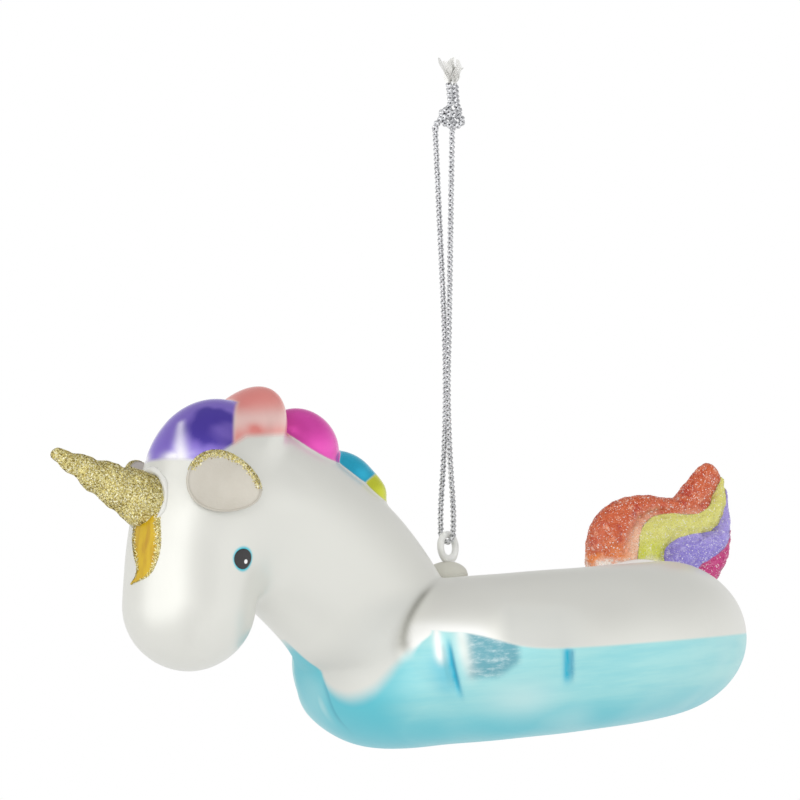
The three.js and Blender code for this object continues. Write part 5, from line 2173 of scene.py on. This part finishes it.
@dataclass
class Tail:
    """The striped plume on the back of the ring, with its grains and its glue."""

    glass: GlassBody
    voxel: float = 0.27
    strands: tuple = (
        (((-3.6, -3), (-3.4, 2), (-2.2, 6.2), (1.2, 9.4), (5.8, 10.7), (10.5, 10.3), (14.6, 10.1),
          (18.8, 12.2), (22.2, 15.4)),
         (4.7, 4.8, 4.4, 2.9, 1.9, 1.6, 1.9, 2.9, 2.5), (3.6, 3.6, 3.5, 3.3, 3.1, 2.9, 2.7, 2.3, 1.8)),
        (((3.8, -3), (4.6, 1.5), (6.6, 5), (10.4, 6.7), (14.4, 6.6), (17.6, 6.4), (20.6, 7.2),
          (22.9, 9.2), (24.3, 11.6), (25.1, 14.4)),
         (3.8, 3.6, 3, 2.3, 1.8, 1.6, 2, 1.8, 1.3, 0.7), (3.6, 3.6, 3.5, 3.4, 3.2, 3, 2.6, 2.2, 1.6, 1.2)),
        (((11, -4), (12.2, 0), (15.2, 2.2), (19, 2.6), (22.4, 3.4), (24.4, 5.6), (25.4, 8.6), (25.7, 12.2)),
         (3.6, 3.4, 2.6, 2.3, 2, 1.5, 0.9, 0.5), (3.5, 3.5, 3.3, 3.1, 2.7, 2.2, 1.5, 1.1)),
        (((12.5, -7.5), (17.5, -4.6), (21, -1.9), (23.8, 0.8), (25.6, 4.8)),
         (2.6, 2.5, 2, 1.3, 0.6), (3.2, 3, 2.7, 2.1, 1.2)),
    )
    cores: tuple = (
        (((-2, -2), (3.2, 3.4), (9, 6), (14.8, 6.2), (20.4, 8)),
         (4, 5, 4, 3.2, 2.6), (3.2, 3.2, 3.1, 2.9, 2.4)),
        (((8.5, -4.5), (14, -0.8), (19.5, 0.6), (23.4, 3.4)),
         (5, 4.2, 2.8, 1.6), (3.1, 3.1, 2.8, 2.2)),
    )
    bumps: float = 0.09
    bead_shift: float = 5.5
    bead_half: tuple[float, float] = (15.4, 4.3)

    def limbs(self, routes: tuple) -> list[Limb]:
        """Give the limbs of strands or cores: routes from the tube's top, and half sizes.

        Args:
            routes: each with its half sizes in the middle plane and across it.

        Returns:
            One limb for each route.
        """
        ring = self.glass.form.ring
        made = []
        for route, thick, wide in routes:
            flat = spline(route, Limb.SAMPLES)
            line = np.stack([ring.middle + flat[:, 0], np.zeros(len(flat)), ring.half_height + flat[:, 1]], 1)
            sizes = spline(np.stack([thick, wide], 1), Limb.SAMPLES)
            made.append(Limb(line, sizes[:, 0], sizes[:, 1]))
        return made

    def build(self, glue: Material) -> None:
        """Make the plume, its sparkling grains and the glue under it.

        Args:
            glue: the milky glue's material.
        """
        limbs = self.limbs(self.strands)
        bodies = limbs + self.limbs(self.cores)

        def plume(points: Array) -> Array:
            """Measure the distance from all strands together.

            Args:
                points: places in millimetres.

            Returns:
                One distance for each point.
            """
            total = bodies[0].field(points)
            for limb in bodies[1:]:
                total = joined(total, limb.field(points), 1.1)
            return total - self.bumps * ripple(points, 1.7, 17)

        skin = one_skin([limb.shell(18, 4) for limb in bodies], plume, self.voxel, "tail_plume")
        points = corners_of(skin)
        fields = np.stack([limb.field(points) for limb in limbs])
        order = np.sort(fields, 0)
        for k in range(1, len(limbs)):
            rest = np.delete(fields, k, 0).min(0)
            note(skin, f"strand_{k}", rest - fields[k])
        note(skin, "groove", order[1] - order[0])
        note(skin, "lift", points[:, 2] - self.glass.form.ring.half_height)
        hang(skin)
        finish = PlumeFinish()
        skin.materials.clear()
        skin.materials.append(finish.base().material)
        body = linked("tail_plume", skin)
        tree = flake_tree(density=2.6e7, size=0.095 * MM, tilt=0.8, lift=0.03 * MM, seed=77,
                          finish=finish.grains().material, sides=5)
        grains = glittered(body, np.ones(len(points)), tree, "tail_grains")
        keep(body, Body.ORNAMENT, "striped_glitter", "tail")
        keep(grains, Body.ORNAMENT, "striped_glitter")
        self.bead(glue)

    def bead(self, glue: Material) -> None:
        """Run a bead of milky glue round the plume's foot.

        Args:
            glue: the glue's material.
        """
        ring = self.glass.form.ring
        form = self.glass.form.field
        turn = circle(120)
        path = np.stack([ring.middle + self.bead_shift + self.bead_half[0] * np.cos(turn),
                         self.bead_half[1] * np.sin(turn), np.full(len(turn), ring.half_height)], 1)
        path = settled(form, path, 0.05, 8)
        radii = np.clip(0.62 + 0.2 * ripple(path, 6.0, 3), 0.35, 1.0) + 0.7 * eased(-np.cos(turn), 0.6, 0.95)
        points, faces = tube(path, radii, 12, closed=True)
        keep(dressed("tail_glue_bead", points, faces, glue), Body.ORNAMENT, "milky_glue", "tail_glue")


@dataclass
class Hanger:
    """The domed cap over the spout and the frosted eye."""

    inset: float = -14.3
    cap_shift: float = -0.95
    cap_top: float = 17.0
    cap_radius: float = 3.9
    skirt: float = 3.6
    ring_radius: float = 2.25
    wire: float = 0.63
    centre: float = 19.58
    turn: float = 17.0
    foot_oval: tuple[float, float] = (1.15, 0.85)

    def build(self, cap: Material, frosted: Material) -> None:
        """Make the cap and the eye.

        Args:
            cap, frosted: their materials.
        """
        self.cap(cap)
        self.eye(frosted)

    def cap(self, finish: Material) -> None:
        """Turn the dome with its small rim.

        Args:
            finish: the material.
        """
        dome = np.linspace(0, math.pi / 2, 18)
        drop = self.cap_radius * 0.62
        reach = np.concatenate([[self.cap_radius] * 6, self.cap_radius * np.cos(dome)[:-1]])
        rise = np.concatenate([np.linspace(-self.skirt, -drop, 6), -drop + drop * np.sin(dome)[:-1]])
        reach[3:6] += np.array([0.0, 0.06, 0.04])
        turn = circle(48)
        rings = np.stack([self.inset + self.cap_shift + reach[:, None] * np.cos(turn),
                          reach[:, None] * np.sin(turn), self.cap_top + rise[:, None] * np.ones(48)], 2)
        points, faces = loft(rings)
        points = points + 0.04 * ripple(points, 5, 2)[:, None] * (0, 0, 1)
        keep(dressed("cap_dome", points, faces, finish), Body.ORNAMENT, "lacquered_cap", "hanger_cap")

    def eye(self, finish: Material) -> None:
        """Mould the ring with its foot that runs into the dome.

        Args:
            finish: the material.
        """
        level = facing(self.turn)
        middle = np.array([self.inset, 0.0, self.centre])
        turn = circle(72)[:, None]
        path = middle + self.ring_radius * (np.cos(turn) * level + np.sin(turn) * UPRIGHT)
        low = eased(-np.sin(turn[:, 0]), 0.55, 1.0)
        wire = tube(path, self.wire * (1 + 0.25 * low), 16, closed=True)
        foot_rise = np.linspace(0.2, -2.2, 10)
        foot_reach = 0.75 + 0.75 * eased(foot_rise, 0.0, -1.4)
        around = circle(24)
        across = np.cross(UPRIGHT, level)
        base = middle - UPRIGHT * self.ring_radius
        rings = (base + foot_rise[::-1, None, None] * UPRIGHT
                 + (foot_reach[::-1, None] * self.foot_oval[0] * np.cos(around))[..., None] * level
                 + (foot_reach[::-1, None] * self.foot_oval[1] * np.sin(around))[..., None] * across)
        piece = dressed("eye_ring", *merged([wire, loft(rings)]), finish)
        keep(piece, Body.ORNAMENT, "frosted_plastic", "hanger_eye")


def main() -> None:
    """Build the studio and every piece in order."""
    logging.basicConfig(level=logging.INFO, format="%(name)s %(message)s")
    Studio().build()
    CordLoop().build()
    gold = FlakeFinish("gold_flakes", (
        paint(166, 146, 74), paint(220, 206, 128), paint(240, 230, 168), paint(230, 218, 144),
        paint(250, 246, 214), paint(206, 188, 110)), roughness=0.3, metallic=0.5).sheet().material
    clear = PlainFinish("clear_glue", paint(237, 237, 232), paint(229, 228, 222), roughness=0.2,
                        transmission=0.04, cloud=500.0, grain=700.0, depth=0.00006).sheet().material
    milky = PlainFinish("milky_glue", paint(244, 242, 239), paint(236, 232, 229), roughness=0.25,
                        transmission=0.08, cloud=500.0, grain=900.0, depth=0.00015).sheet().material
    cream = PlainFinish("cream_pearl", paint(208, 203, 192), paint(194, 188, 175), roughness=0.4,
                        metallic=0.05, coat=0.2, cloud=260.0, grain=1800.0).sheet().material
    cap = PlainFinish("cap_lacquer", paint(211, 210, 199), paint(203, 201, 190), roughness=0.5,
                      metallic=0.12, cloud=200.0).sheet().material
    frosted = PlainFinish("frosted_plastic", paint(250, 250, 247), paint(241, 241, 238), roughness=0.42,
                          transmission=0.2, cloud=400.0).sheet().material
    glass = GlassBody()
    glass.build()
    PaintedFace(glass).build(gold)
    Horn(glass).build(gold, clear)
    for side in Side:
        Ear(glass, side).build(gold, cream, clear)
    Tail(glass).build(milky)
    Hanger().build(cap, frosted)


if __name__ == "__main__":
    main()
